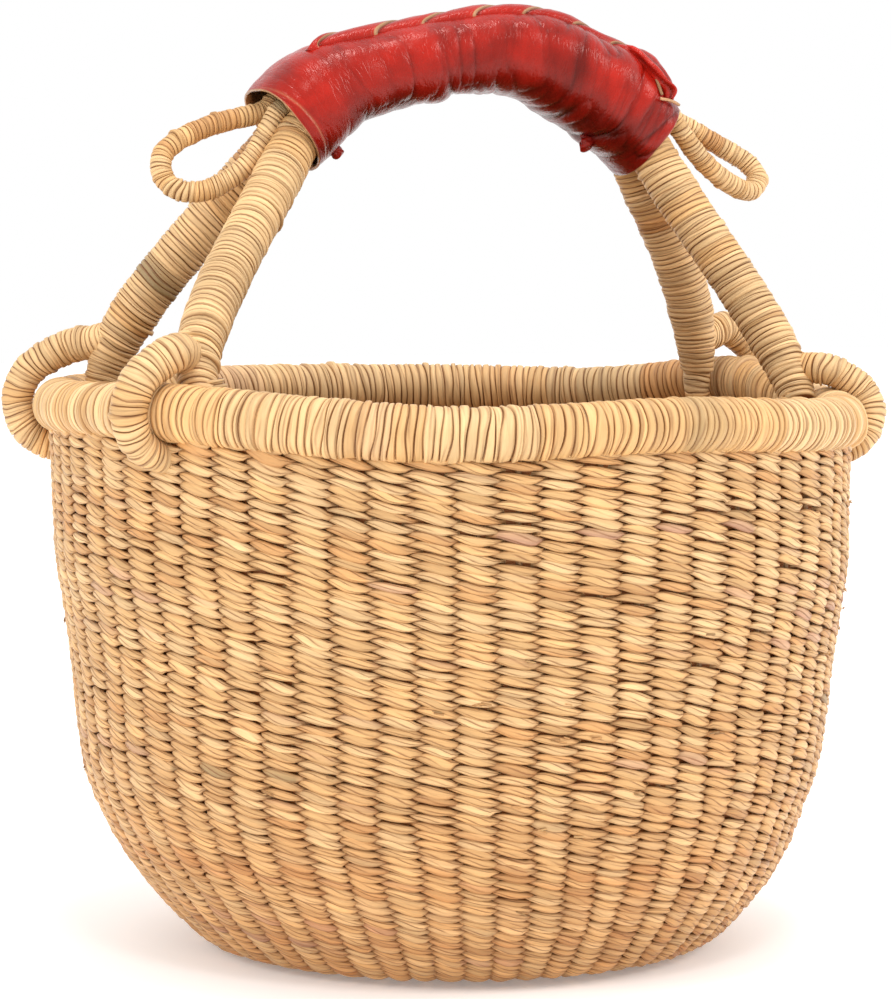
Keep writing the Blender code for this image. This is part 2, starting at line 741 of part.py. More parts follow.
def main():
    """Build the basket and its handle."""
    clear_scene()
    parts = new_collection("bolga_basket")
    cutters = new_collection("cutters")
    notches = [make_notch_cutter(angle, cutters) for angle in eye_angles()]
    make_weave_face("weave_outer_face", 0.0, RIB_DEPTH, notches, parts)
    make_weave_face("weave_inner_face", INNER_FACE_DEPTH, -RIB_DEPTH, notches, parts)
    make_stake_pairs(parts)
    make_base_start(cutters, parts)
    make_rim_core(parts)
    make_rim_binding(parts)

    handle = [
        make_arch("front_arch", -1, cutters, parts),
        make_arch("back_arch", 1, cutters, parts),
        make_grip_binding(parts),
        make_hanging_loop("left_hanging_loop", LEFT_END, parts),
        make_hanging_loop("right_hanging_loop", RIGHT_END, parts),
        make_grip_leather(parts),
        make_grip_lace(parts),
        make_lace_knot("left_lace_knot", -KNOT_LEFT_ANGLE, parts),
        make_lace_knot("right_lace_knot", KNOT_RIGHT_ANGLE, parts),
    ]
    hang_on_hinge(handle, parts)


main()
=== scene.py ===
"""Looks of a round twined market basket with a bound rim and a laced leather grip.

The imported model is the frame: each piece here stands for one or more of its nodes and
rides on the same body. Shapes are computed with numpy on grids, in metres, in the
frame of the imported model: Z up, the basket's axis on Z, the handle along X.
"""

import math

import bpy
import numpy as np
from bpy.props import FloatProperty, FloatVectorProperty, IntProperty, PointerProperty
from mathutils import Matrix, Vector


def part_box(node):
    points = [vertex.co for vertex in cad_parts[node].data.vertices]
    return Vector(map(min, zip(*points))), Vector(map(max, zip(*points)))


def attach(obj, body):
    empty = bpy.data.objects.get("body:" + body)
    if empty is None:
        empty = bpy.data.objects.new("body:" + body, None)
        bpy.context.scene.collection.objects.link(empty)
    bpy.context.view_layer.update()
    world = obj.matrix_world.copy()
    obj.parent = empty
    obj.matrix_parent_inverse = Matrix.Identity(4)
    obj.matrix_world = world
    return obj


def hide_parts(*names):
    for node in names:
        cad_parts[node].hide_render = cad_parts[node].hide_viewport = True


bl_info = {
    "name": "Twined market basket",
    "version": (1, 0, 0),
    "blender": (4, 5, 0),
    "location": "3D View > Sidebar > Basket",
    "description": "Makes the straw, the leather and the stage of a twined market basket",
    "category": "Object",
}

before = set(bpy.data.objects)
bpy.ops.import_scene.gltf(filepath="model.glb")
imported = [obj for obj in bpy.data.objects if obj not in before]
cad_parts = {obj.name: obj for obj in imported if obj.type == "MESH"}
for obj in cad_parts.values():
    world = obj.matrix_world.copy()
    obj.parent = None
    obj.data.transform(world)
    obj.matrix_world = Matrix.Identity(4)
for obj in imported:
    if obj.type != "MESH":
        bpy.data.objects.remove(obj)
RIM_LOW, RIM_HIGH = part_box("rim_binding")
RIM_TUBE = (RIM_HIGH.z - RIM_LOW.z) / 2
RIM_LEVEL = (RIM_LOW.z + RIM_HIGH.z) / 2
RIM_RADIUS = (RIM_HIGH.x - RIM_LOW.x) / 2 - RIM_TUBE
STAKES = sorted(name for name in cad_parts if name.startswith("stake_pair"))
BACK = np.array([0.0, 1.0, 0.0])
UP = np.array([0.0, 0.0, 1.0])
SEED = 11
NOISE_CELLS = 512

# The bowl's outer face in section: distance from the axis and height, in metres
BOWL_SECTION = (
    (0.0000, 0.0000), (0.0300, 0.0000), (0.0560, 0.0001), (0.0694, 0.0003), (0.0801, 0.0016),
    (0.0853, 0.0040), (0.0897, 0.0080), (0.0953, 0.0140), (0.1017, 0.0220), (0.1082, 0.0320),
    (0.1137, 0.0440), (0.1187, 0.0580), (0.1213, 0.0750), (0.1233, 0.0950), (0.1258, 0.1130),
    (0.1276, 0.1260), (0.1280, 0.1380), (0.1284, 0.1550), (0.1290, 0.1690),
)
# How high the rim rides above its level: degrees from +X, metres
RIM_WAVE = (
    (-25.0, -0.0044), (-5.0, -0.0042), (17.0, 0.0070), (37.0, -0.0022), (67.0, -0.0008),
    (112.0, 0.0000), (157.0, 0.0002), (205.0, 0.0034), (225.0, 0.0008), (246.0, -0.0024),
    (262.0, -0.0012), (275.0, 0.0004), (287.0, -0.0002), (302.0, -0.0030),
)
# How much thicker the rim is than its winding's nominal radius: degrees from +X, metres
RIM_SWELL = ((190.0, 0.0), (212.0, 0.0006), (232.0, 0.0006), (250.0, 0.0))
# Where the rim's straw has another colour: the share of the way round from +X, half the length as a
# share, the colour's number in the palette and its strength. The first, a long pale stretch round the
# back, is painted light that brightens the back of the rim as if lit
RIM_PATCHES = (
    (0.235, 0.110, 0, 0.90), (0.784, 0.014, 5, 0.60), (0.659, 0.010, 4, 0.30),
    (0.455, 0.016, 5, 0.40), (0.114, 0.014, 5, 0.38), (0.161, 0.010, 2, 0.60),
    (0.620, 0.030, 1, 0.40),
)
# The bowl leans a little to one side: height, metres along LEAN_DIRECTION
LEAN = (
    (0.000, 0.0046), (0.010, 0.0043), (0.022, 0.0038), (0.034, 0.0028), (0.046, 0.0018),
    (0.060, 0.0018), (0.080, 0.0020), (0.110, 0.0022), (0.135, 0.0018), (0.165, 0.0014),
)
LEAN_DIRECTION = (math.cos(math.radians(-23.0)), math.sin(math.radians(-23.0)))
# Cut straw ends that show: degrees from +X, height; more stand at random places
STUBS = (
    (244.5, 0.0905), (244.5, 0.1000), (263.0, 0.0922), (256.0, 0.0620), (284.0, 0.1100),
    (287.0, 0.0800), (256.6, 0.1050), (262.0, 0.0815), (238.0, 0.1120), (230.0, 0.0700),
)
MORE_STUBS = 60
# Where the twining starts, as a distance along the bowl's section, how deep under the outer
# face the inside of the twining and the middle of an upright lie, and an upright's radius
SPIRAL_START = 0.009
INNER_CREST = 0.0052
UPRIGHT_DEPTH = 0.0030
UPRIGHT_RADIUS = 0.0011
# The phase at which a strand passes from the outside to the inside, a little past the middle
# between two uprights, so that each stitch laps over the next
PASSING_PHASE = math.radians(105.0)
# Rings of a strand from one upright to the next, and points in a ring
STRAND_STEPS = 8
STRAND_COLUMNS = 8
# The start bundles: half their length, and the spacing and the radius of their stems
START_REACH = 0.022
START_SPACING = 0.0020
START_RADIUS = 0.00105
# How common each colour of the palette is, in the two strands, on the rim and on the handle
STRAND_COLOURS = ((0.38, 0.51, 0.08, 0.02, 0.006, 0.002), (0.22, 0.57, 0.16, 0.03, 0.010, 0.003))
RIM_COLOURS = (0.42, 0.51, 0.06, 0.01, 0.0, 0.0)
HANDLE_COLOURS = (0.66, 0.30, 0.02, 0.015, 0.0, 0.005)


def length_property(name, description, default):
    """A length that a user can change."""
    return FloatProperty(
        name=name, description=description, default=default, subtype="DISTANCE", unit="LENGTH"
    )


def angle_property(name, description, default):
    """An angle that a user can change."""
    return FloatProperty(
        name=name, description=description, default=default, subtype="ANGLE", unit="ROTATION"
    )


def colour_property(name, description, default):
    """A linear colour that a user can change."""
    return FloatVectorProperty(
        name=name, description=description, default=default, size=3, min=0, max=1, subtype="COLOR"
    )


class BasketSizes(bpy.types.PropertyGroup):
    """Sizes of the twining, the uprights and the rim."""

    row_pitch: length_property(
        "Row pitch", "Distance from one turn of the twining to the next", 0.00296
    )
    uprights: IntProperty(
        name="Uprights",
        description="Number of uprights in the wall",
        default=2 * len(STAKES),
        min=8,
    )
    strand_half_width: length_property(
        "Strand half width", "Half the width of a weft strand where it crosses an upright", 0.00176
    )
    strand_half_thickness: length_property(
        "Strand half thickness", "Half the thickness of a weft strand", 0.00085
    )
    strand_swing: length_property(
        "Strand swing",
        "How far a strand stands out over an upright from where the pair crosses",
        0.00095,
    )
    strand_twist: length_property(
        "Strand twist", "How far a strand rises and falls as the pair twists", 0.00098
    )
    rim_pitch: length_property(
        "Rim winding pitch", "Width of one turn of the straw wound round the rim", 0.00240
    )


class HandleSizes(bpy.types.PropertyGroup):
    """Sizes of the handle's windings and of its leather."""

    leg_pitch: length_property(
        "Leg winding pitch", "Width of one turn of the straw wound round a leg", 0.00185
    )
    leg_radius: length_property("Leg radius", "Radius of a bound leg", 0.0073)
    loop_radius: length_property("Loop radius", "Radius of a hanging loop's cord", 0.0032)
    leather_thickness: length_property(
        "Leather thickness", "Thickness of the sleeve's leather", 0.0008
    )


class BasketColours(bpy.types.PropertyGroup):
    """Colours of the straw and the leather."""

    pale: colour_property("Pale straw", "Bleached straw", (0.80, 0.522, 0.250))
    gold: colour_property("Golden straw", "The commonest straw", (0.74, 0.440, 0.182))
    tan: colour_property("Tan straw", "Browner straw", (0.65, 0.338, 0.124))
    pink: colour_property("Pinkish straw", "Straw with a pink cast", (0.68, 0.395, 0.22))
    mauve: colour_property("Mauve straw", "Straw of the lower stem", (0.52, 0.275, 0.165))
    olive: colour_property("Olive straw", "Straw cut green", (0.36, 0.25, 0.115))
    # The gap colour is painted shade: the brown that stands for the shadow between the straws and in the
    # grooves of the windings
    shade: colour_property("Gap colour", "The brown between the straws", (0.235, 0.075, 0.016))
    leather: colour_property("Leather", "Dyed face of the leather", (0.365, 0.0105, 0.0050))
    leather_edge: colour_property("Leather edge", "Undyed cut edge", (0.50, 0.27, 0.13))


class StageSettings(bpy.types.PropertyGroup):
    """The camera's place and its focal length."""

    azimuth: angle_property(
        "Azimuth", "Direction from which the camera looks, from the -Y axis", math.radians(-23.04)
    )
    distance: length_property(
        "Distance", "Level distance from the basket's axis to the camera", 1.2
    )
    height: length_property("Height", "Height of the camera above the floor", 0.241)
    pitch: angle_property("Pitch", "How far the camera looks down", 0.082)
    focal_pixels: FloatProperty(
        name="Focal length in pixels",
        description="Focal length for a frame 999 pixels high",
        default=3730.8,
    )


# Helpers for shapes


def unit(vectors):
    """The vectors at length one."""
    return vectors / np.linalg.norm(vectors, axis=-1, keepdims=True)


def smoothstep(share):
    """A share from 0 to 1 that starts and ends level."""
    return share * share * (3 - 2 * share)


def fuller(wave, power):
    """A sine or cosine whose size is raised to a power: under 1, rounder shapes get squarer."""
    return np.sign(wave) * np.abs(wave) ** power


def field_noise(x, y, seed, cells):
    """Random heights from -1 to 1 at the whole numbers of a plane, joined by smoothstep.
    They repeat after a number of cells along x."""
    table = np.random.default_rng(seed).uniform(-1.0, 1.0, (NOISE_CELLS, NOISE_CELLS))
    low_x, low_y = np.floor(x).astype(int), np.floor(y).astype(int)
    share_x, share_y = smoothstep(x - low_x), smoothstep(y - low_y)
    left, right = low_x % cells, (low_x + 1) % cells
    down, up = low_y % NOISE_CELLS, (low_y + 1) % NOISE_CELLS
    lower = table[left, down] * (1 - share_x) + table[right, down] * share_x
    upper = table[left, up] * (1 - share_x) + table[right, up] * share_x
    return lower * (1 - share_y) + upper * share_y


def ring_noise(turn, cells, along, seed):
    """Noise with a number of cells round a ring, at an angle round it and a place along."""
    return field_noise(turn / (2 * math.pi) * cells, along, seed, cells)


def ring_angles(count):
    """Even angles round a full turn."""
    return 2 * math.pi * np.arange(count) / count


def spun(distance, height, angle):
    """Points at a distance from the Z axis and a height, turned about it by an angle."""
    x, y = distance * np.cos(angle), distance * np.sin(angle)
    return np.stack(np.broadcast_arrays(x, y, height), axis=-1)


def rings_round(line, across, up, wide, high):
    """Points beside a line: wide along one direction plus high along another."""
    return line + wide[..., None] * across + high[..., None] * up


def through_points(knots, count):
    """A Catmull-Rom curve through the knots, cut into count points."""
    knots = np.asarray(knots, float)
    held = np.vstack([2 * knots[:1] - knots[1:2], knots, 2 * knots[-1:] - knots[-2:-1]])
    place = np.linspace(0.0, len(knots) - 1.0, count)
    first = np.minimum(place.astype(int), len(held) - 4)
    share = (place - first)[:, None]
    a, b, c, d = (held[first + step] for step in range(4))
    curve = 2 * b + (c - a) * share + (2 * a - 5 * b + 4 * c - d) * share**2
    return 0.5 * (curve + (3 * b - a - 3 * c + d) * share**3)


def lengths_along(path, closed=False):
    """Distance along a path at each of its points, and, if closed, back at its start."""
    steps = np.linalg.norm(np.diff(path, axis=0, append=path[:1]), axis=1)
    total = np.concatenate([[0.0], np.cumsum(steps)])
    return total if closed else total[:-1]


def look_up(place, marks, values):
    """Values with several components, interpolated at places along marks."""
    return np.stack([np.interp(place, marks, column) for column in values.T], axis=-1)


def grid_part(rings, closed, along, across, tint):
    """A tube of points (ring, column): its points, faces, straw coordinates at the faces'
    corners, end fans and tints. An open tube has a fan at each end. The straw coordinates
    are a length for each ring and one for each column, with one more where they close."""
    count, columns = rings.shape[:2]
    points = rings.reshape(-1, 3)
    tint = np.broadcast_to(tint, rings.shape).reshape(-1, 3)
    i = np.arange(count if closed else count - 1)[:, None]
    j = np.arange(columns)
    k, l = (i + 1) % count, (j + 1) % columns
    order = (i * columns + j, i * columns + l, k * columns + l, k * columns + j)
    quads = np.stack(np.broadcast_arrays(*order), axis=-1).reshape(-1, 4)
    marks = ((i, j), (i, j + 1), (i + 1, j + 1), (i + 1, j))
    corners = [np.stack(np.broadcast_arrays(along[a], across[b]), axis=-1) for a, b in marks]
    quad_uv = np.stack(corners, axis=2).reshape(-1, 4, 2)
    triangles = np.zeros((0, 3), int)
    if not closed:
        points = np.vstack([points, rings[0].mean(axis=0), rings[-1].mean(axis=0)])
        tint = np.vstack([tint, tint[:1], tint[-1:]])
        last = (count - 1) * columns
        pole = np.full(columns, count * columns)
        fans = (pole, l, j), (pole + 1, last + j, last + l)
        triangles = np.vstack([np.stack(fan, axis=-1) for fan in fans])
    a, b, c, d = (points[quads[:, corner]] for corner in range(4))
    if np.sum(a * np.cross(b, c)) + np.sum(a * np.cross(c, d)) < 0:
        quads, quad_uv, triangles = quads[:, ::-1], quad_uv[:, ::-1], triangles[:, ::-1]
    return points, quads, quad_uv, triangles, tint


def stem(line, across, up, radius, columns, along, girth, tint):
    """A round straw along a line, on two directions that stand across it."""
    turn = ring_angles(columns)
    wide, high = radius * np.cos(turn), radius * np.sin(turn)
    rings = settle(rings_round(line[:, None], across, up, wide, high))
    return grid_part(rings, False, along, np.linspace(0, girth, columns + 1), tint)


def build_piece(name, parts, material, body, stands_for=()):
    """One object from several parts, riding on a body and standing for the nodes named."""
    points, _, quad_uv, _, tint = (np.concatenate(column) for column in zip(*parts))
    offsets = np.cumsum([0] + [len(part[0]) for part in parts])
    quads, triangles = (
        np.vstack([part[faces] + offset for part, offset in zip(parts, offsets)])
        for faces in (1, 3)
    )
    corners = np.concatenate([quads.ravel(), triangles.ravel()])
    starts = np.append(4 * np.arange(len(quads)), 4 * len(quads) + 3 * np.arange(len(triangles)))
    uv = np.zeros((len(corners), 2))
    uv[: quads.size] = quad_uv.reshape(-1, 2)
    rgba = np.column_stack([tint, np.ones(len(tint))])
    mesh = bpy.data.meshes.new(name)
    mesh.vertices.add(len(points))
    mesh.vertices.foreach_set("co", points.astype(np.float32).ravel())
    mesh.loops.add(len(corners))
    mesh.loops.foreach_set("vertex_index", corners.astype(np.int32))
    mesh.polygons.add(len(starts))
    mesh.polygons.foreach_set("loop_start", starts.astype(np.int32))
    mesh.update(calc_edges=True)
    layer = mesh.uv_layers.new(name="straw")
    layer.data.foreach_set("uv", uv.astype(np.float32).ravel())
    colours = mesh.color_attributes.new(name="straw_tint", type="FLOAT_COLOR", domain="POINT")
    colours.data.foreach_set("color", rgba.astype(np.float32).ravel())
    mesh.shade_smooth()
    mesh.validate()
    mesh.materials.append(material)
    piece = bpy.data.objects.new(name, mesh)
    bpy.context.scene.collection.objects.link(piece)
    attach(piece, body)
    if stands_for:
        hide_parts(*stands_for)


def straw_colours():
    """The palette as an array: pale, gold, tan, pink, mauve, olive."""
    tones = bpy.context.scene.basket_colours
    names = ("pale", "gold", "tan", "pink", "mauve", "olive")
    return np.array([getattr(tones, name)[:] for name in names])


def leather_colours():
    """The leather's dyed face and its cut edge, as arrays."""
    tones = bpy.context.scene.basket_colours
    return np.array(tones.leather[:]), np.array(tones.leather_edge[:])


def straw_runs(count, mean_run, weights, seed):
    """A colour for each of count turns: one straw lasts for mean_run turns or so."""
    rng = np.random.default_rng(seed)
    fresh = rng.random(count) < 1.0 / mean_run
    fresh[0] = True
    picks = rng.choice(len(weights), size=count, p=np.array(weights) / sum(weights))
    run = np.maximum.accumulate(np.where(fresh, np.arange(count), 0))
    tone = straw_colours()[picks[run]]
    lightness = 1.0 + 0.05 * rng.standard_normal(count)[run] + 0.035 * rng.standard_normal(count)
    return np.clip(tone * np.clip(lightness, 0.75, 1.15)[:, None], 0.0, 0.98)


def shaded(tint, weight):
    """The tint turned towards the gap colour, a painted shade, by weight."""
    shade = np.array(bpy.context.scene.basket_colours.shade[:])
    weight = weight[..., None]
    return tint * (1 - weight) + shade * weight


# The bowl


def rim_wave(angle):
    """Height of the rim above its level at an angle: the table smoothed round the ring."""
    marks, heights = np.array(RIM_WAVE).T
    fine = np.arange(0, 360, 2.0)
    level = np.interp(fine, marks, heights, period=360.0)
    window = np.hanning(23)
    window /= window.sum()
    level = np.convolve(np.concatenate([level[-11:], level, level[:11]]), window, "valid")
    return np.interp(np.degrees(angle), fine, level, period=360.0)


def settle(points):
    """The bowl as it has settled: pushed along its lean, and lifted under the rim's wave."""
    x, y, z = np.moveaxis(points, -1, 0)
    shift = np.interp(z, *np.array(LEAN).T)
    lift = rim_wave(np.arctan2(y, x)) * smoothstep(np.clip((z - 0.07) / 0.095, 0.0, 1.0))
    lean_x, lean_y = LEAN_DIRECTION
    return np.stack([x + shift * lean_x, y + shift * lean_y, z + lift], axis=-1)


def bowl_curve():
    """The bowl's section, smoothed, with the distance along it from the axis and the
    direction out of the wall: the tangent turned a quarter turn."""
    curve = through_points(BOWL_SECTION, 600)
    marks = lengths_along(curve)
    tangent = unit(np.gradient(curve, marks, axis=0))
    normal = np.stack([tangent[:, 1], -tangent[:, 0]], axis=-1)
    return curve, marks, tangent, normal


def twined_bands(pitch, reach):
    """Turns of the twining: for each band of the bowl its first turn, turns and uprights."""
    uprights = bpy.context.scene.basket_sizes.uprights
    total = int(reach / pitch)
    bands = [(0, 4, uprights // 4), (4, 7, uprights // 2), (11, 9, uprights)]
    bands += [(start, min(11, total - start), uprights) for start in range(20, total, 11)]
    return bands


def twined_strand(band, strand, seed):
    """One strand of a twined pair over a band of turns.

    Along the strand the phase grows by half a turn per upright. A bell falls from one over an
    upright to nothing at the passing phase, as a cosine, and rises again inside. The strand
    is swung out, or in, by a power of the bell, and is as wide as the bell says. It is moved
    along the section by minus twist times the sine of the same share of the phase."""
    sizes = bpy.context.scene.basket_sizes
    first_turn, turns, uprights = band
    curve, marks, tangent, normal = bowl_curve()
    passes = turns * uprights
    share = np.arange(passes * STRAND_STEPS + 1) / STRAND_STEPS
    row = first_turn + share / uprights
    angle = 2 * math.pi * share / uprights
    place = SPIRAL_START + sizes.row_pitch * row
    column = share - 0.5
    wander = 0.13 * field_noise(column, row / 7.0, SEED + 3, uprights)
    wander = wander + 0.07 * field_noise(column, row / 1.3, SEED + 4, uprights)
    phase = math.pi * (column + strand + wander)
    stitch = np.floor(column + strand + 1.5).astype(int)
    rng = np.random.default_rng(seed)
    slack = rng.standard_normal(passes + 4)[stitch]
    stretch = rng.standard_normal(passes + 4)[stitch]
    wrapped = np.mod(phase + math.pi, 2 * math.pi) - math.pi
    near = np.abs(wrapped)
    outside = near < PASSING_PHASE
    away = np.where(outside, near / PASSING_PHASE, (math.pi - near) / (math.pi - PASSING_PHASE))
    bell = np.cos(away * math.pi / 2)
    power = np.interp(place, (0.0, 0.10, 0.18), (0.9, 0.8, 0.65))
    swing = np.where(outside, 1.0, -1.0) * bell**power
    spacing = 2 * math.pi * np.interp(place, marks, curve[:, 0]) / uprights
    scale = np.clip(spacing / 0.0075, 0.55, 1.0)
    reach = sizes.strand_swing * np.interp(place, (0.05, 0.09, 0.17), (1.25, 1.20, 0.9))
    inner = INNER_CREST - sizes.strand_half_thickness - reach
    out = np.where(swing > 0, reach, inner) * swing * scale * (1 + 0.11 * slack)
    rise = -sizes.strand_twist * np.sin(away * math.pi / 2) * np.sign(wrapped)
    rise = rise * (1 + 0.16 * stretch) + 0.00029 * slack * bell
    rise = rise + 0.00040 * ring_noise(angle, 21, row * 0.45, SEED + 5)
    along_section = look_up(place, marks, tangent)
    outward = look_up(place, marks, normal)
    depth = reach + sizes.strand_half_thickness
    centre = look_up(place + rise, marks, curve) + (out - depth)[:, None] * outward
    half_width = sizes.strand_half_width * (0.30 + 0.70 * bell) * (1 + 0.13 * stretch)
    half_thickness = sizes.strand_half_thickness * (0.75 + 0.25 * bell)
    turn = 2 * math.pi * (np.arange(STRAND_COLUMNS) + 0.5) / STRAND_COLUMNS
    wide, thick = fuller(np.cos(turn), 0.8), fuller(np.sin(turn), 0.8)
    lap = 0.00024 * wide
    section = rings_round(
        centre[:, None],
        along_section[:, None],
        outward[:, None],
        half_width[:, None] * wide,
        half_thickness[:, None] * thick - lap,
    )
    rings = settle(spun(section[..., 0], section[..., 1], angle[:, None]))
    face = straw_runs(passes + 4, 6.0, STRAND_COLOURS[strand], seed + 1)[stitch]
    other = straw_runs(passes + 4, 4.0, STRAND_COLOURS[strand], seed + 2)[stitch]
    blend = 0.4 * np.clip(0.5 + 0.8 * wide, 0, 1)[None, :, None]
    tint = face[:, None, :] * (1 - blend) + other[:, None, :] * blend
    ruddy = np.interp(place, (0.10, 0.16, 0.20), (1.0, 0.55, 0.1)) * (0.25 + 0.75 * strand)
    cloud = 0.5 + 0.5 * ring_noise(angle, 13, row * 0.30, SEED + 6)
    ruddy = ruddy * (0.25 + 0.75 * cloud)
    tint = tint * (1 - ruddy[:, None, None] * np.array((0.10, 0.20, 0.27)))
    # Painted shade: the tint darker and browner towards the bottom of the bowl, where the gaps also
    # darken more
    low = np.interp(place, (0.07, 0.14, 0.20), (1.0, 0.6, 0.0))
    tint = tint * (1 - low[:, None, None] * np.array((0.12, 0.18, 0.24)))
    # Painted shade: the tint turned to the gap colour where the strand dives between the uprights and
    # along its top and bottom edges
    gap_shade = (0.62 + 0.15 * low) * (1 - bell) ** 2.5
    tint = shaded(tint, np.clip(gap_shade[:, None] + 0.55 * np.abs(wide) ** 5, 0, 0.85))
    length = np.arange(len(share)) * spacing.mean() / STRAND_STEPS
    width = np.linspace(-1.0, 1.0, STRAND_COLUMNS + 1) * sizes.strand_half_width * 2
    return grid_part(rings, False, length, width + 0.01 * strand, tint)


class BASKET_OT_twining(bpy.types.Operator):
    """Twines two straw strands round the uprights, turn on turn, from the base to the rim."""

    bl_idname = "basket.twining"
    bl_label = "Twine the bowl"

    def execute(self, context):
        reach = bowl_curve()[1][-1] - SPIRAL_START
        bands = twined_bands(context.scene.basket_sizes.row_pitch, reach)
        for number, band in enumerate(bands):
            parts = [twined_strand(band, side, SEED + 20 * number + 7 * side) for side in (0, 1)]
            stands_for = ("weave_outer_face", "weave_inner_face") if number == 3 else ()
            name = "twining_%d" % (number + 1)
            build_piece(name, parts, dry_straw(), "basket", stands_for)
        return {"FINISHED"}


class BASKET_OT_uprights(bpy.types.Operator):
    """Stands the uprights between the two faces of the twining, with a thin sheet of painted shade
    between them.
    """

    bl_idname = "basket.uprights"
    bl_label = "Stand the uprights"

    def execute(self, context):
        uprights = context.scene.basket_sizes.uprights
        curve, marks, _, normal = bowl_curve()
        middle = curve - UPRIGHT_DEPTH * normal
        tan = straw_colours()[2]
        parts = []
        for number in range(uprights):
            start = 0.026 if number % 4 < 2 else 0.050
            station = np.linspace(start, marks[-1] - 0.001, 40)
            angle = 2 * math.pi * (number + 0.5) / uprights
            line = spun(*look_up(station, marks, middle).T, angle)
            out = spun(*look_up(station, marks, normal).T, angle)[:, None]
            sideways = spun(1.0, 0.0, angle + math.pi / 2)
            parts.append(
                stem(line, sideways, out, UPRIGHT_RADIUS, 6, station, 0.006, tan * 0.6)
            )
        build_piece("uprights", parts, dry_straw(), "basket", STAKES)

        # A thin sheet of painted shade in the middle of the wall: the gap colour, a little lighter, on
        # its outer face, so that the gaps show dark, and tan in shade on its inner face
        keep = np.linspace(0.004, marks[-1], 110)
        centre = look_up(keep, marks, middle)
        out = 0.00025 * look_up(keep, marks, normal)
        profile = np.vstack([centre + out, (centre - out)[::-1]])
        rings = settle(spun(*profile.T, ring_angles(96)[:, None]))
        outer = (np.arange(len(profile)) < len(centre))[None, :, None]
        brown = np.array(context.scene.basket_colours.shade[:]) * 1.6
        around, across = np.linspace(0, 0.8, 97), np.linspace(0, 0.5, len(profile) + 1)
        shade_sheet = grid_part(rings, True, around, across, np.where(outer, brown, tan * 0.66))
        build_piece("wall_filling", [shade_sheet], dry_straw(), "basket")
        return {"FINISHED"}


class BASKET_OT_start(bpy.types.Operator):
    """Crosses two flat bundles of stems at the middle of the base."""

    bl_idname = "basket.start"
    bl_label = "Cross the start bundles"

    def execute(self, context):
        parts = []
        station = np.linspace(-START_REACH, START_REACH, 25)
        for bundle, axes in ((0, [0, 1, 2]), (1, [1, 0, 2])):
            for number in range(6):
                side = np.full(len(station), (number - 2.5) * START_SPACING)
                wave = 0.0009 * np.cos(station / START_REACH * math.pi) * (1 if bundle else -1)
                height = UPRIGHT_DEPTH + wave * np.exp(-((station / 0.012) ** 2))
                line = np.stack([station, side, height], axis=-1)[:, axes]
                tint = straw_colours()[number % 3] * 0.8
                parts.append(
                    stem(line, BACK[axes], UP, START_RADIUS, 8, station + 0.05, 0.006, tint)
                )
        build_piece("start_bundles", parts, dry_straw(), "basket", ["base_start"])
        return {"FINISHED"}


class BASKET_OT_stubs(bpy.types.Operator):
    """Leaves the cut ends of joined straws standing a little out of the twining."""

    bl_idname = "basket.stubs"
    bl_label = "Leave cut straw ends"

    def execute(self, context):
        curve, marks, _, normal = bowl_curve()
        rng = np.random.default_rng(SEED + 70)
        degrees, heights = np.array(STUBS).T
        degrees = np.concatenate([degrees, rng.uniform(0.0, 360.0, MORE_STUBS)])
        heights = np.concatenate([heights, rng.uniform(0.025, 0.155, MORE_STUBS)])
        share = np.linspace(-0.5, 0.5, 5)
        parts = []
        for angle, height in zip(np.radians(degrees), heights):
            station = np.interp(height, curve[150:, 1], marks[150:])
            for _ in range(rng.integers(1, 4)):
                length = rng.uniform(0.0016, 0.0040)
                slope = rng.normal(-0.10, 0.12)
                turn = angle + rng.normal(0.0, 0.008) + share * length / 0.125
                place = station + rng.normal(0.0, 0.0004) + slope * share * length
                out = 0.0001 + 0.0004 * rng.random() + 0.0004 * share
                flat = look_up(place, marks, curve) + out[:, None] * look_up(place, marks, normal)
                radial = spun(1.0, 0.0, turn)[:, None]
                girth = rng.uniform(0.00018, 0.00032)
                tint = straw_colours()[rng.choice((1, 2, 2))] * rng.uniform(0.45, 1.0)
                line = spun(*flat.T, turn)
                parts.append(stem(line, radial, UP, girth, 5, share * length, 0.002, tint))
        build_piece("straw_ends", parts, dry_straw(), "basket")
        return {"FINISHED"}


# Wound straw

# Across a turn of the winding: where its rings lie, from groove to groove, how high they stand as shares
# of its plumpness, and how much painted shade, in the gap colour, they take
TURN_MARKS = np.array((0.0, 0.06, 0.17, 0.50, 0.83, 0.94))
TURN_HEIGHTS = np.array((-1.4, -0.1, 0.85, 1.0, 0.85, -0.1))
TURN_SHADE = np.array((1.0, 0.75, 0.05, 0.0, 0.05, 0.75))


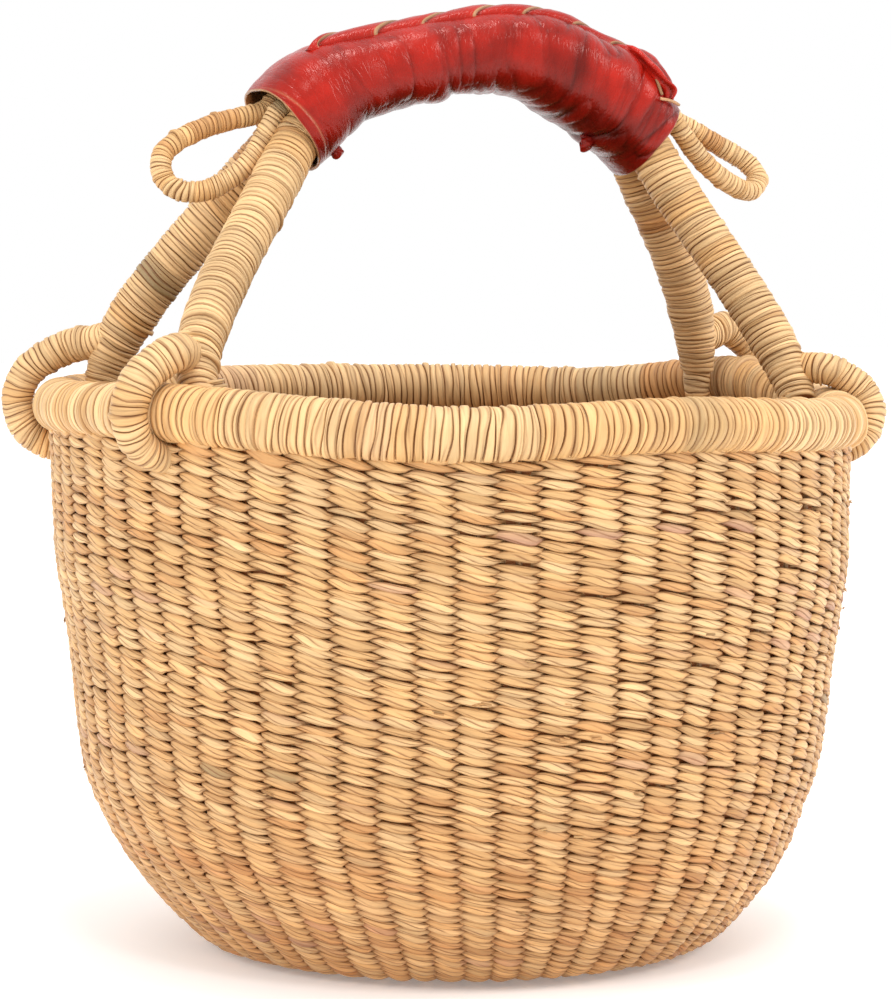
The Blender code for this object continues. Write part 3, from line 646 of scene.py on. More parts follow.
def wound_tube(
    path,
    closed,
    radius,
    pitch,
    reference,
    seed,
    columns=24,
    slant=0.35,
    plump=0.12,
    loose=0.20,
    seam=0.0,
    weights=HANDLE_COLOURS,
    patches=(),
):
    """Straw wound round a path, turn against turn.

    Turn i fills the path from mark i to mark i + 1. Both marks are moved along the path by
    slant times the sine of the angle round it, by a share of their own of that sine, and by
    noise. Across a turn the surface rises from the groove to a flat crown. The ring's axes
    come from the path's tangent crossed with reference. The straw coordinates are turned
    round, so that the straw's grain runs round the tube."""
    marks = lengths_along(path, closed)
    total = marks[-1]
    turns = max(3, int(round(total / pitch)))
    rng = np.random.default_rng(seed)
    edges = np.arange(turns + 1.0)
    edges[1:-1] += rng.uniform(-1.0, 1.0, turns - 1) * 0.22
    own_slant = rng.uniform(-1.0, 1.0, turns + 1) * loose
    own_start = rng.uniform(0.0, 2 * math.pi, turns + 1)
    numbers = np.arange(turns + 1)
    line = path
    if closed:
        own_slant[-1], own_start[-1], numbers[-1] = own_slant[0], own_start[0], 0
        line = np.vstack([path, path[:1]])

    across = ring_angles(columns) + seam
    border = edges[:, None] + slant * np.sin(across + 0.7)
    border = border + own_slant[:, None] * np.sin(across + own_start[:, None])
    border = border + 0.20 * ring_noise(across, 7, numbers[:, None] * 7.31, seed + 1)
    lower, upper = border[:-1, None], border[1:, None]
    place = (lower + (upper - lower) * TURN_MARKS[None, :, None]).reshape(-1, columns)

    of_turn = np.repeat(np.arange(turns), len(TURN_MARKS))
    heights, shade_weight = np.tile(TURN_HEIGHTS, turns), np.tile(TURN_SHADE, turns)
    lift = rng.normal(0.0, 0.06 * pitch, turns)[of_turn]
    tilt = rng.normal(0.0, 0.12 * pitch, turns)[of_turn]
    lift = lift + tilt * (np.tile(TURN_MARKS, turns) - 0.5)
    level = plump * pitch * heights + np.where(heights > 0.5, lift, 0.0)
    if not closed:
        place = np.vstack([place, border[-1:]])
        level, shade_weight = np.append(level, -plump * pitch), np.append(shade_weight, TURN_SHADE[0])
        of_turn = np.append(of_turn, turns)
    filled = np.minimum(of_turn, turns - 1)

    def kept(place):
        """Places along the path that stay on it."""
        return place % total if closed else np.clip(place, 0.0, total)

    near = 0.0004
    place = kept(place * total / turns)
    tangent = look_up(kept(place + near), marks, line) - look_up(kept(place - near), marks, line)
    tangent = unit(tangent)
    sideways = unit(np.cross(tangent, reference))
    girth = np.interp(place, np.linspace(0, total, len(radius)), radius)
    openness = 0.85 + 0.65 * ring_noise(across, 5, of_turn[:, None] * 5.13, seed + 6)
    openness = np.clip(openness, 0.30, 1.0)
    uneven = ring_noise(across, 9, of_turn[:, None] * 3.7, seed + 4)
    proud = np.where(rng.random(turns) < 0.07, 0.45 * pitch, 0.0)[filled]
    facing = np.clip(np.cos(across - own_start[of_turn, None]), 0.0, 1.0)
    sunk = (level < 0)[:, None]
    crown = 0.08 * pitch * uneven + proud[:, None] * facing**2
    reach = girth + level[:, None] * np.where(sunk, 2.2 * openness - 0.7, 1.0)
    reach = reach + np.where(sunk, 0.0, crown)
    rings = rings_round(
        look_up(place, marks, line),
        sideways,
        np.cross(sideways, tangent),
        reach * np.cos(across),
        reach * np.sin(across),
    )

    tones = straw_runs(turns, 3.5, weights, seed + 2)
    middle = (edges[:-1] + edges[1:]) / 2 * total / turns
    for centre, half_length, tone, strength in patches:
        apart = np.abs(middle - centre * total)
        if closed:
            apart = np.minimum(apart, total - apart)
        share = strength * np.clip(1.6 * (1 - apart / (half_length * total)), 0, 1)
        share = (share * rng.uniform(0.55, 1.0, turns))[:, None]
        tones = tones * (1 - share) + straw_colours()[tone] * share
    tint = np.broadcast_to(tones[filled][:, None], rings.shape)
    # Painted shade: the gap colour laid into the grooves between the turns, more where a groove is more
    # open
    tint = shaded(tint, shade_weight[:, None] * openness)
    girdle = np.linspace(0.0, 2 * math.pi, columns + 1) * np.mean(radius)
    steps = np.linspace(0.0, total, len(place) + 1) if closed else place.mean(axis=1)
    points, quads, quad_uv, triangles, tint = grid_part(rings, closed, steps, girdle, tint)
    return points, quads, quad_uv[..., ::-1], triangles, tint


class BASKET_OT_rim(bpy.types.Operator):
    """Winds straw round the rim, over its core."""

    bl_idname = "basket.rim"
    bl_label = "Wind the rim"

    def execute(self, context):
        around = ring_angles(720)
        part = wound_tube(
            settle(spun(RIM_RADIUS, RIM_LEVEL, around)),
            True,
            RIM_TUBE + np.interp(np.degrees(around), *np.array(RIM_SWELL).T),
            context.scene.basket_sizes.rim_pitch,
            UP,
            SEED + 300,
            columns=30,
            plump=0.17,
            loose=0.34,
            seam=math.radians(225.0),
            weights=RIM_COLOURS,
            patches=RIM_PATCHES,
        )
        nodes = ["rim_core", "rim_binding"]
        build_piece("rim_winding", [part], wound_straw(), "basket", nodes)
        return {"FINISHED"}


# Handle

GRIP_RADIUS = 0.0910
GRIP_CENTRE = np.array([0.0090, 0.0, 0.1948])
GRIP_HALF_ANGLE = math.radians(44.5)
ARCH_SIDE = 0.00755
ARCH_DROP = 0.0038
# Each eye's place round the rim from the X axis and how far its plane turns out of the
# radial one, in degrees; how tall it is as a share of its route; the heights over the rim's
# middle between which it leaves the leg; how wide it is as a share of its route; and how
# thick its cord is as a share of its girth
EYES = {
    ("left", -1.0): (25.0, -11.0, 0.98, 0.0228, 0.0165, 1.0, 0.99),
    ("left", 1.0): (26.0, 0.0, 0.92, 0.0285, 0.0212, 1.09, 0.93),
    ("right", -1.0): (17.0, 0.0, 0.90, 0.0200, 0.0160, 0.92, 0.86),
    ("right", 1.0): (17.0, 0.0, 0.92, 0.0232, 0.0155, 1.08, 0.94),
}
# Each leg's Bezier: how much steeper than the grip's end it falls at the sleeve, in degrees,
# the lengths of its two holds, how far the lower one leans, in degrees, how far out the foot
# stands, and the shares of the way from front to back at which the holds lie
LEGS = {
    ("left", -1.0): (12.0, 0.042, 0.019, -15.0, 0.0022, (0.30, 0.87)),
    ("left", 1.0): (9.0, 0.035, 0.022, -3.0, 0.0012, (0.30, 0.87)),
    ("right", -1.0): (18.0, 0.031, 0.026, 6.0, 0.0032, (0.23, 0.58)),
    ("right", 1.0): (17.0, 0.026, 0.033, 10.0, -0.0010, (0.23, 0.58)),
}
# A leg's thickness along it, as a share of its radius
LEG_MARKS = (0.0, 0.12, 0.24, 0.78, 0.90, 1.0)
LEG_GIRTH = (0.97, 1.00, 1.03, 1.02, 0.89, 0.74)
# An eye in its upright plane, from the leg over the rim and under it: out from the rim's
# middle and up from it, in metres
EYE_ROUTE = (
    (-0.0025, 0.0184), (0.0042, 0.0152), (0.0106, 0.0102), (0.0138, 0.0028), (0.0132, -0.0040),
    (0.0102, -0.0092), (0.0036, -0.0128), (-0.0038, -0.0128), (-0.0102, -0.0092),
    (-0.0137, -0.0036), (-0.0139, 0.0040), (-0.0138, 0.0100),
)
EYE_INNER = 0.0139
# Radius of the eye's cord along it, from the leg, over the rim, to its inner end
EYE_GIRTH = np.array((0.0056, 0.0057, 0.0057, 0.0056, 0.0053, 0.0048, 0.0044, 0.0044, 0.0048))
# Every five degrees along the grip, from its left end: how far its middle line lies outside
# its circle, and how much thicker its leather is than the section, in millimetres
GRIP_MARKS = np.arange(-45.0, 46.0, 5.0)
GRIP_BEND = (
    1.7, 2.0, 1.9, 1.4, 0.3, -0.9, -1.6, -1.8, -1.2, -0.3,
    0.5, 0.9, 0.7, -0.1, -0.9, -0.6, -0.8, -1.2, -2.2,
)
GRIP_SWELL = (
    1.2, 2.0, 2.2, 1.2, 0.0, -0.6, -0.9, -1.2, -1.2, -1.0,
    -0.6, -0.1, 0.8, 1.2, 1.4, 2.2, 2.2, 1.5, -0.3,
)


def along_grip(angle, values):
    """A table of millimetres along the grip at an angle, as a smooth curve, in metres."""
    degrees, smooth = through_points(np.column_stack([GRIP_MARKS, values]), 181).T
    return 0.001 * np.interp(np.degrees(angle), degrees, smooth)


def grip_point(angle, rise, side):
    """A point of the grip: angle from its crown towards +X, rise off its middle line."""
    distance = GRIP_RADIUS + rise + along_grip(angle, GRIP_BEND)
    x, z = distance * np.sin(angle), distance * np.cos(angle)
    return GRIP_CENTRE + np.stack(np.broadcast_arrays(x, side, z), axis=-1)


def eye_place(end, side):
    """The middle of the rim at an eye, and the level direction of the eye's plane there."""
    angle, turn = np.radians(EYES[end, side][:2])
    angle = math.pi - side * angle if end == "left" else side * angle
    return settle(spun(RIM_RADIUS, RIM_LEVEL, angle)), spun(1.0, 0.0, angle + turn)


def leg_path(end, side, count):
    """A cubic Bezier from inside the sleeve to where the leg runs into the eye."""
    turn, collar_length, foot_length, lean, shift, shares = LEGS[end, side]
    way = 1.0 if end == "right" else -1.0
    apart = side * ARCH_SIDE
    collar = grip_point(way * GRIP_HALF_ANGLE, -ARCH_DROP, apart)
    middle, out = eye_place(end, side)
    foot = middle - (EYE_INNER - shift) * out + 0.004 * UP
    fall, lean = GRIP_HALF_ANGLE + math.radians(turn), math.radians(lean)
    outward = np.array([way * math.cos(fall), 0.0, -math.sin(fall)])
    upward = np.array([-way * math.sin(lean), 0.0, math.cos(lean)])
    holds = np.stack([collar + collar_length * outward, foot + foot_length * upward])
    holds[:, 1] = collar[1] + np.array(shares) * (foot[1] - collar[1])
    t = np.linspace(0.0, 1.0, count)[:, None]
    upper = (1 - t) ** 3 * collar + 3 * (1 - t) ** 2 * t * holds[0]
    curve = upper + 3 * (1 - t) * t**2 * holds[1] + t**3 * foot
    angles = way * np.linspace(GRIP_HALF_ANGLE - 0.16, GRIP_HALF_ANGLE - 0.02, 6)
    return np.vstack([grip_point(angles, -ARCH_DROP, apart), curve])


def eye_path(end, side, count):
    """The eye's cord: out of the leg, over the rim, under it and up its inside again."""
    middle, out = eye_place(end, side)
    tall, high, low, snug = EYES[end, side][2:6]
    route = np.array(EYE_ROUTE) * snug
    route[:, 1] *= np.where(route[:, 1] > 0.003, tall, 1.0)
    ring = middle + route[:, :1] * out + route[:, 1:] * UP
    leg = leg_path(end, side, 80)
    high, low = (leg[np.argmin(np.abs(leg[:, 2] - middle[2] - z))] for z in (high, low))
    return through_points(np.vstack([high + 0.0014 * out, low + 0.0034 * out, ring]), count)


class BASKET_OT_arch(bpy.types.Operator):
    """Winds straw round the two arches: their legs and the eyes that hold the rim."""

    bl_idname = "basket.arches"
    bl_label = "Wind the arches"

    def execute(self, context):
        sizes = context.scene.handle_sizes
        girth = sizes.leg_radius * np.interp(np.linspace(0, 1, 60), LEG_MARKS, LEG_GIRTH)
        for name, side in (("front_arch", -1.0), ("back_arch", 1.0)):
            parts = []
            for number, end in enumerate(("left", "right")):
                seed = SEED + 400 + 40 * number + int(9 * side)
                olive = (end, side) == ("left", 1.0)
                leg = wound_tube(
                    leg_path(end, side, 60),
                    False,
                    girth * (1.04 if olive else 1.0),
                    sizes.leg_pitch,
                    BACK,
                    seed,
                    slant=0.85,
                    seam=math.pi * number,
                    patches=((0.635, 0.050, 5, 1.0),) if olive else (),
                )
                out = eye_place(end, side)[1]
                eye = wound_tube(
                    eye_path(end, side, 110),
                    False,
                    EYE_GIRTH * EYES[end, side][6],
                    sizes.leg_pitch,
                    np.cross(UP, out),
                    seed + 5,
                    columns=22,
                    slant=0.4,
                    seam=math.pi,
                )
                parts += [leg, eye]
            build_piece(name + "_winding", parts, wound_straw(), "handle", [name])
        return {"FINISHED"}


# Each hanging loop's route from the upper end at the collar to the lower one: along the
# grip's tangent there, off the grip, and forward or back, as shares of LOOP_SIZES
LOOP_SHARES = {
    -1.0: (
        (0.12, 0.22, 1.00), (0.36, 0.61, 1.00), (0.56, 0.85, 1.00), (0.73, 1.00, 0.75),
        (0.87, 1.02, 0.50), (0.97, 0.86, 0.25), (1.02, 0.60, 0.00), (1.01, 0.28, -0.50),
        (0.92, -0.02, -0.80), (0.81, -0.21, -1.00), (0.68, -0.33, -1.10), (0.53, -0.40, -1.15),
        (0.38, -0.38, -1.15), (0.24, -0.30, -1.10), (0.10, -0.20, -1.05),
    ),
    1.0: (
        (0.14, 0.20, 1.00), (0.30, 0.36, 1.00), (0.46, 0.49, 1.00), (0.66, 0.66, 1.00),
        (0.85, 0.79, 0.75), (0.99, 0.71, 0.25), (1.03, 0.38, -0.25), (0.96, 0.14, -0.50),
        (0.82, -0.02, -0.75), (0.65, -0.14, -1.00), (0.48, -0.18, -1.05), (0.31, -0.16, -1.05),
        (0.15, -0.10, -1.05),
    ),
}
LOOP_SIZES = (0.038, 0.014, 0.004)
# The loops' two ends in the collar: how high over the grip's middle line and how far beside
# it they lie, and how much lower the lower one is
LOOP_TAIL_RISE = 0.0088
LOOP_TAIL_SIDE = 0.0036
LOOP_TAIL_DROP = {-1.0: 0.0018, 1.0: 0.0008}
LOOP_PITCH = 0.0015


def loop_path(side):
    """A hanging loop: out of the sleeve beside the legs, round, and back in."""
    collar = side * GRIP_HALF_ANGLE
    along = np.array([side * math.cos(collar), 0.0, -math.sin(GRIP_HALF_ANGLE)])
    lift = np.array([math.sin(collar), 0.0, math.cos(collar)])
    start = GRIP_CENTRE + (GRIP_RADIUS + LOOP_TAIL_RISE) * lift
    route = start + np.array(LOOP_SHARES[side]) * LOOP_SIZES @ np.stack([along, lift, BACK])
    tails = side * np.linspace(GRIP_HALF_ANGLE - 0.12, GRIP_HALF_ANGLE - 0.01, 4)
    rise = LOOP_TAIL_RISE - along_grip(collar, GRIP_BEND)
    upper = grip_point(tails, rise, LOOP_TAIL_SIDE)
    lower = grip_point(tails[::-1], rise - LOOP_TAIL_DROP[side], -LOOP_TAIL_SIDE)
    return through_points(np.vstack([upper, route, lower]), 200)


class BASKET_OT_loops(bpy.types.Operator):
    """Winds straw round the two hanging loops and pads the grip under the leather."""

    bl_idname = "basket.loops"
    bl_label = "Wind the hanging loops"

    def execute(self, context):
        radius = np.full(4, context.scene.handle_sizes.loop_radius)
        for name, side in (("left_hanging_loop", -1.0), ("right_hanging_loop", 1.0)):
            part = wound_tube(
                loop_path(side),
                False,
                radius,
                LOOP_PITCH,
                BACK,
                SEED + 500 + int(9 * side),
                columns=16,
                plump=0.11,
                seam=math.pi * (side > 0),
            )
            build_piece(name + "_winding", [part], wound_straw(), "handle", [name])
        angles = np.linspace(-GRIP_HALF_ANGLE + 0.09, GRIP_HALF_ANGLE - 0.09, 60)
        rings = grip_point(angles[:, None], *sleeve_section(ring_angles(40), 0.0112, 0.0138))
        girth = np.linspace(0, 0.09, 41)
        # Painted shade: the padding's tan darkened, as it shows only in the shadow inside the collars
        pad = grid_part(rings, False, angles * GRIP_RADIUS, girth, straw_colours()[2] * 0.7)
        build_piece("grip_padding", [pad], dry_straw(), "handle", ["grip_binding"])
        return {"FINISHED"}


# The leather sleeve: half its height and half its depth, the points round it, and the rings
# of its face and of the layer inside
SLEEVE_HEIGHT = 0.0141
SLEEVE_DEPTH = 0.0167
SLEEVE_COLUMNS = 150
FACE_ROWS = 440
LINING_ROWS = 50


def sleeve_section(turn, half_height=SLEEVE_HEIGHT, half_depth=SLEEVE_DEPTH):
    """Rise and side of a superellipse at a turn from the +Y flank over the top: its powers
    are 2.6 upwards and 2.3 sideways."""
    rise = half_height * fuller(np.sin(turn), 2 / 2.6)
    return rise, half_depth * fuller(np.cos(turn), 2 / 2.3)


def billows(along, turn, length, cells, seed):
    """Soft swellings with sharp creases between them, about length long and stretched round
    the sleeve: the size of a noise whose cells are warped by another."""
    drift = 5.0 * ring_noise(turn, 5, along / 26.0 + 40, seed + 1)
    return np.abs(ring_noise(turn, cells, (along + drift) / length + 80, seed)) ** 0.55 - 0.60


def leather_folds(along, turn):
    """The sleeve's folds at millimetres along the grip and a turn round it: their height, and
    how far the leather lies in a crease. Billows of three sizes, deepest on the underside and
    towards the gather at the right end."""
    under = np.clip(-np.sin(turn), 0.0, 1.0)
    front = np.clip(-np.cos(turn), 0.0, 1.0)
    right = np.clip((along - 5.0) / 45.0, 0.0, 1.0) ** 1.5
    left = np.clip((-along - 30.0) / 30.0, 0.0, 1.0)
    calm = 1.0 - 0.55 * left * (1 - under)
    broad = billows(along, turn, 9.0, 3, SEED + 41) * (0.38 + 0.62 * under + 0.25 * right) * calm
    middle = billows(along, turn, 5.0, 4, SEED + 43) * calm
    middle = middle * (0.80 + 0.30 * under + 0.60 * right * (0.4 + front))
    small = billows(along, turn, 2.4, 7, SEED + 45) * (0.55 + 0.60 * right)
    swells = ring_noise(turn, 3, along / 17.0 + 40, SEED + 47)
    height = 0.001 * (1.70 * broad + 0.75 * middle + 0.20 * small + 0.45 * swells)
    return height, np.clip(-(0.7 * broad + 0.9 * middle + 0.5 * small), 0.0, 1.0)


def on_sleeve(degrees, turns, lift):
    """Points over the sleeve: degrees along the grip, degrees round it, height over it."""
    place, turn = np.radians(degrees), np.radians(turns)
    rise, side = sleeve_section(turn)
    over = along_grip(place, GRIP_SWELL) + np.asarray(lift)
    return grip_point(place, rise + over * np.sin(turn), side + over * np.cos(turn))


class BASKET_OT_sleeve(bpy.types.Operator):
    """Wraps the leather sleeve round the grip, with a hem at its left end."""

    bl_idname = "basket.sleeve"
    bl_label = "Wrap the leather sleeve"

    def execute(self, context):
        thickness = context.scene.handle_sizes.leather_thickness
        leather, edge = leather_colours()
        turn = ring_angles(SLEEVE_COLUMNS)
        upper, front = np.sin(turn), np.clip(-np.cos(turn), 0.0, 1.0)
        share = np.append(np.linspace(0, 1, FACE_ROWS), np.linspace(1, 0, LINING_ROWS))[:, None]
        lining = (np.arange(len(share)) >= FACE_ROWS)[:, None]
        left = np.radians(-44.9 + 0.9 * front + 1.4 * upper)
        right = np.radians(45.0 - 0.9 * upper - 1.0 * front)
        angle = left + (right - left) * share
        along = angle * GRIP_RADIUS * 1000.0
        rise, depth = sleeve_section(turn)
        out = unit(np.stack([rise / SLEEVE_HEIGHT, depth / SLEEVE_DEPTH], axis=-1))
        folds, crease = leather_folds(along, turn)
        inward = (angle - left) * GRIP_RADIUS
        hem = 0.0036 - 0.0030 * np.clip(upper, 0.0, 1.0)
        seam = np.exp(-(((inward - hem) / 0.00035) ** 2)) * front
        folds = folds - 0.00030 * (inward > hem) * front - 0.0002 * seam
        grow = along_grip(angle, GRIP_SWELL) + folds - thickness * lining
        rings = grip_point(angle, rise + grow * out[:, 0], depth + grow * out[:, 1])
        # Mottled tone, with painted shade: darker in the creases and on the underside
        patchy = 0.5 + 0.5 * ring_noise(turn, 6, along / 9.0 + 40, SEED + 48)
        shade = (1.10 - 0.28 * patchy) * (1 - 0.75 * crease)
        shade = shade * (1 - 0.52 * np.clip(0.20 - upper, 0.0, 1.0))
        # Painted shade: the lining inside the sleeve takes the edge colour darkened nearly to black, away
        # from its very ends
        flesh = np.where(lining | (share < 0.0015) | (share > 0.9985), 1.0, 0.35 * seam)
        inside = np.where(lining & (share > 0.002) & (share < 0.998), 0.18, 1.0)
        tint = leather * (shade * (1 - flesh))[..., None] + edge * (inside * flesh)[..., None]
        length = 0.14 * np.append(share, 0.0)
        part = grid_part(rings, True, length, np.linspace(0, 0.1, SLEEVE_COLUMNS + 1), tint)
        nodes = ["grip_leather"]
        build_piece("leather_sleeve", [part], red_leather(), "handle", nodes)
        return {"FINISHED"}


# Where the lace dips under itself, in degrees from the crown of the grip
LACE_DIPS = (-29.6, -27.5, -16.5, -6.9, 3.2, 12.5, 22.1, 30.5, 36.0)
# A stitch of the lace between two dips, ring by ring: where along it, how high over the rope's middle, in
# millimetres, how far it shows the raw edge, and how much painted shade darkens it where it dips under
# the last stitch
LACE_STITCH = (
    (0.0, -0.75, 0.15, 0.8), (0.035, -0.40, 0.0, 0.5), (0.10, -0.05, 0.0, 0.15),
    (0.22, 0.22, 0.0, 0.0), (0.40, 0.42, 0.0, 0.0), (0.60, 0.52, 0.0, 0.0), (0.78, 0.46, 0.0, 0.0),
    (0.895, 0.34, 0.05, 0.0), (0.915, 0.30, 1.0, 0.0), (0.970, 0.12, 1.0, 0.2),
)
LACE_COLUMNS = 28


def whipped_lace(seed):
    """The lace as one rope of flat stitches. Between two dips a stitch comes out from under
    the last one, swells, and ends in a raw edge that stands over the next. The dips lean
    along the rope by the cosine of the angle round it."""
    leather, edge = leather_colours()
    dips = np.radians(LACE_DIPS)
    fractions, heights, raw, shade_weight = np.array(LACE_STITCH).T
    middle = (dips[:-1, None] + np.diff(dips)[:, None] * fractions).ravel()
    rows = np.tile(np.stack([0.001 * heights, raw, shade_weight]), len(dips) - 1)
    heights, raw, shade_weight = rows[:, :, None]
    across = ring_angles(LACE_COLUMNS)
    angle = middle[:, None] + 0.062 * np.cos(across)
    angle = angle + 0.008 * ring_noise(across, 5, middle[:, None] * 9.0 + 40, seed)
    ends = np.minimum(np.arange(len(middle)), np.arange(len(middle))[::-1])
    ends = np.clip((ends + 0.4) / 3.0, 0.0, 1.0)[:, None] ** 0.5
    dent = 0.00018 * ring_noise(across, 6, middle[:, None] * 50.0 + 80, seed + 1)
    high = (0.0024 + heights + dent) * ends * fuller(np.sin(across), 0.85)
    wide = (0.0038 + heights + dent) * ends * np.cos(across)
    rise = SLEEVE_HEIGHT - 0.0008 + along_grip(angle, GRIP_SWELL) + high + 0.10 * wide
    rings = grip_point(angle, rise, wide - 0.0034)
    # Painted shade darkens each stitch where it dips under the last one
    tint = (leather * (1 - raw) + edge * 0.8 * raw) * (1 - 0.75 * shade_weight)
    girth = np.linspace(0, 0.016, LACE_COLUMNS + 1)
    return grid_part(rings, False, middle * 0.1, girth, tint[:, None])


def strap(knots, half_width, half_height, tint, folds=0.0, twist=0.0, seed=0):
    """A strap through knots: an ellipse whose half width and half height vary along it,
    with folds that turn round it by twist."""
    rows, columns = 60, 24
    path = through_points(knots, rows)
    tangent = unit(np.gradient(path, axis=0))
    sideways = unit(np.cross(tangent, (0.0, 0.3, 1.0)))
    upward = np.cross(sideways, tangent)
    share = np.linspace(0.0, 1.0, rows)
    around = ring_angles(columns)
    wide = np.interp(share, np.linspace(0, 1, len(half_width)), half_width)
    high = np.interp(share, np.linspace(0, 1, len(half_height)), half_height)
    crease = np.abs(np.sin(2.5 * around + twist * share[:, None] * 2 * math.pi)) - 0.6
    crease = folds * (crease + 0.3 * ring_noise(around, 7, share[:, None] * 8.0, seed))
    wide, high = (wide[:, None] + crease) * np.cos(around), (high[:, None] + crease) * np.sin(around)
    rings = rings_round(path[:, None], sideways[:, None], upward[:, None], wide, high)
    # Painted shade in the hollows of the folds, and a little painted light on their ridges
    shade = np.clip(0.75 + 600.0 * crease, 0.35, 1.2)[..., None]
    return grid_part(rings, False, share * 0.02, np.linspace(0, 0.02, columns + 1), tint * shade)


class BASKET_OT_lace(bpy.types.Operator):
    """Whips the lace along the top of the sleeve and ties its knots."""

    bl_idname = "basket.lace"
    bl_label = "Whip the lace"

    def execute(self, context):
        leather, edge = leather_colours()
        gather = on_sleeve(
            (30.0, 32.3, 34.9, 37.4, 39.6),
            (98.0, 109.0, 123.0, 136.0, 149.0),
            (0.0004, 0.0006, 0.0004, -0.0002, -0.0012),
        )
        widths = (0.0030, 0.0044, 0.0054, 0.0046, 0.0022)
        heights = (0.0016, 0.0022, 0.0026, 0.0022, 0.0012)
        slit = on_sleeve((30.5, 32.5, 35.0, 37.5), (106.0, 122.0, 140.0, 156.0), 0.0001)
        tie = on_sleeve((37.4, 39.0, 40.6, 42.0), (163.0, 156.0, 148.0, 140.0), 0.0006)
        thin = (0.0005, 0.0005, 0.0005)
        parts = [
            whipped_lace(SEED + 60),
            strap(gather, widths, heights, leather * 1.1, 0.0012, 0.30, SEED + 80),
            strap(slit, thin, thin, edge * 0.75),
            strap(tie, (0.0004, 0.0006, 0.0005), thin, edge * 1.3),
        ]
        build_piece("sleeve_lace", parts, red_leather(), "handle", ["grip_lace"])

        across = np.array([0.0016, -0.0008, 0.0004])
        for name, degrees, hang in (("left_lace_knot", -40.0, 0.0012), ("right_lace_knot", 31.4, 0.0024)):
            angle = math.radians(degrees)
            under = -0.0138 - along_grip(angle, GRIP_SWELL)
            start = grip_point(angle, under + 0.0012, -0.0030)
            end = grip_point(angle + 0.006, under - hang, -0.0040)
            tail = [start, start * 0.5 + end * 0.5 + across * 0.5, end, end - across * 0.6]
            wrap = [start - across, start + across * 0.3, end + across * 0.8]
            widths, heights = (0.0018, 0.0027, 0.0016), (0.0016, 0.0022, 0.0012)
            parts = [strap(tail, widths, heights, leather * 0.75, 0.0004, 0.6, SEED + 90)]
            widths, heights = (0.0013, 0.0018, 0.0011), (0.0012, 0.0015, 0.0010)
            parts.append(strap(wrap, widths, heights, leather * 0.85, 0.0003, 0.5, SEED + 91))
            build_piece(name + "_tied", parts, red_leather(), "handle", [name])
        return {"FINISHED"}


# Materials


def shader_material(name):
    """A new node material: itself, its tree and its Principled shader."""
    material = bpy.data.materials.new(name)
    material.use_nodes = True
    return material, material.node_tree, material.node_tree.nodes["Principled BSDF"]


def node(tree, kind, result, feeds, **settings):
    """A new node with its settings. Each of its sockets named in feeds is linked to another
    socket or set to a number or a vector; one of its outputs comes back."""
    step = tree.nodes.new("ShaderNode" + kind)
    for name, value in settings.items():
        setattr(step, name, value)
    for name, value in feeds.items():
        if isinstance(value, bpy.types.NodeSocket):
            tree.links.new(value, step.inputs[name])
        else:
            step.inputs[name].default_value = value
    return step.outputs[result]


def maths(tree, operation, first, second=0.0):
    """The result of a maths step on two sockets or numbers."""
    return node(tree, "Math", 0, {0: first, 1: second}, operation=operation)


def spread(tree, value, low, high, first, last):
    """A value whose range from low to high is laid on first to last, and cut off there."""
    feeds = {"Value": value, "From Min": low, "From Max": high, "To Min": first, "To Max": last}
    return node(tree, "MapRange", "Result", feeds)


def noise(tree, place, scale, detail=2.0, roughness=0.5):
    """Noise at a place that is scaled along each axis first."""
    sized = node(tree, "Mapping", "Vector", {"Scale": scale, "Vector": place})
    feeds = {"Scale": 1.0, "Detail": detail, "Roughness": roughness, "Vector": sized}
    return node(tree, "TexNoise", "Fac", feeds)


def scaled_colour(tree, colour, amount):
    """A colour times an amount."""
    return node(tree, "VectorMath", "Vector", {0: colour, "Scale": amount}, operation="SCALE")


def tint_and_place(tree):
    """The piece's own tint, its straw coordinates and its place in space."""
    tint = node(tree, "Attribute", "Color", {}, attribute_name="straw_tint")
    uv = node(tree, "UVMap", "UV", {}, uv_map="straw")
    return tint, uv, node(tree, "TexCoord", "Object", {})


def bump(tree, height, distance, strength):
    """A normal bent by a height."""
    feeds = {"Strength": strength, "Distance": distance, "Height": height}
    return node(tree, "Bump", "Normal", feeds)


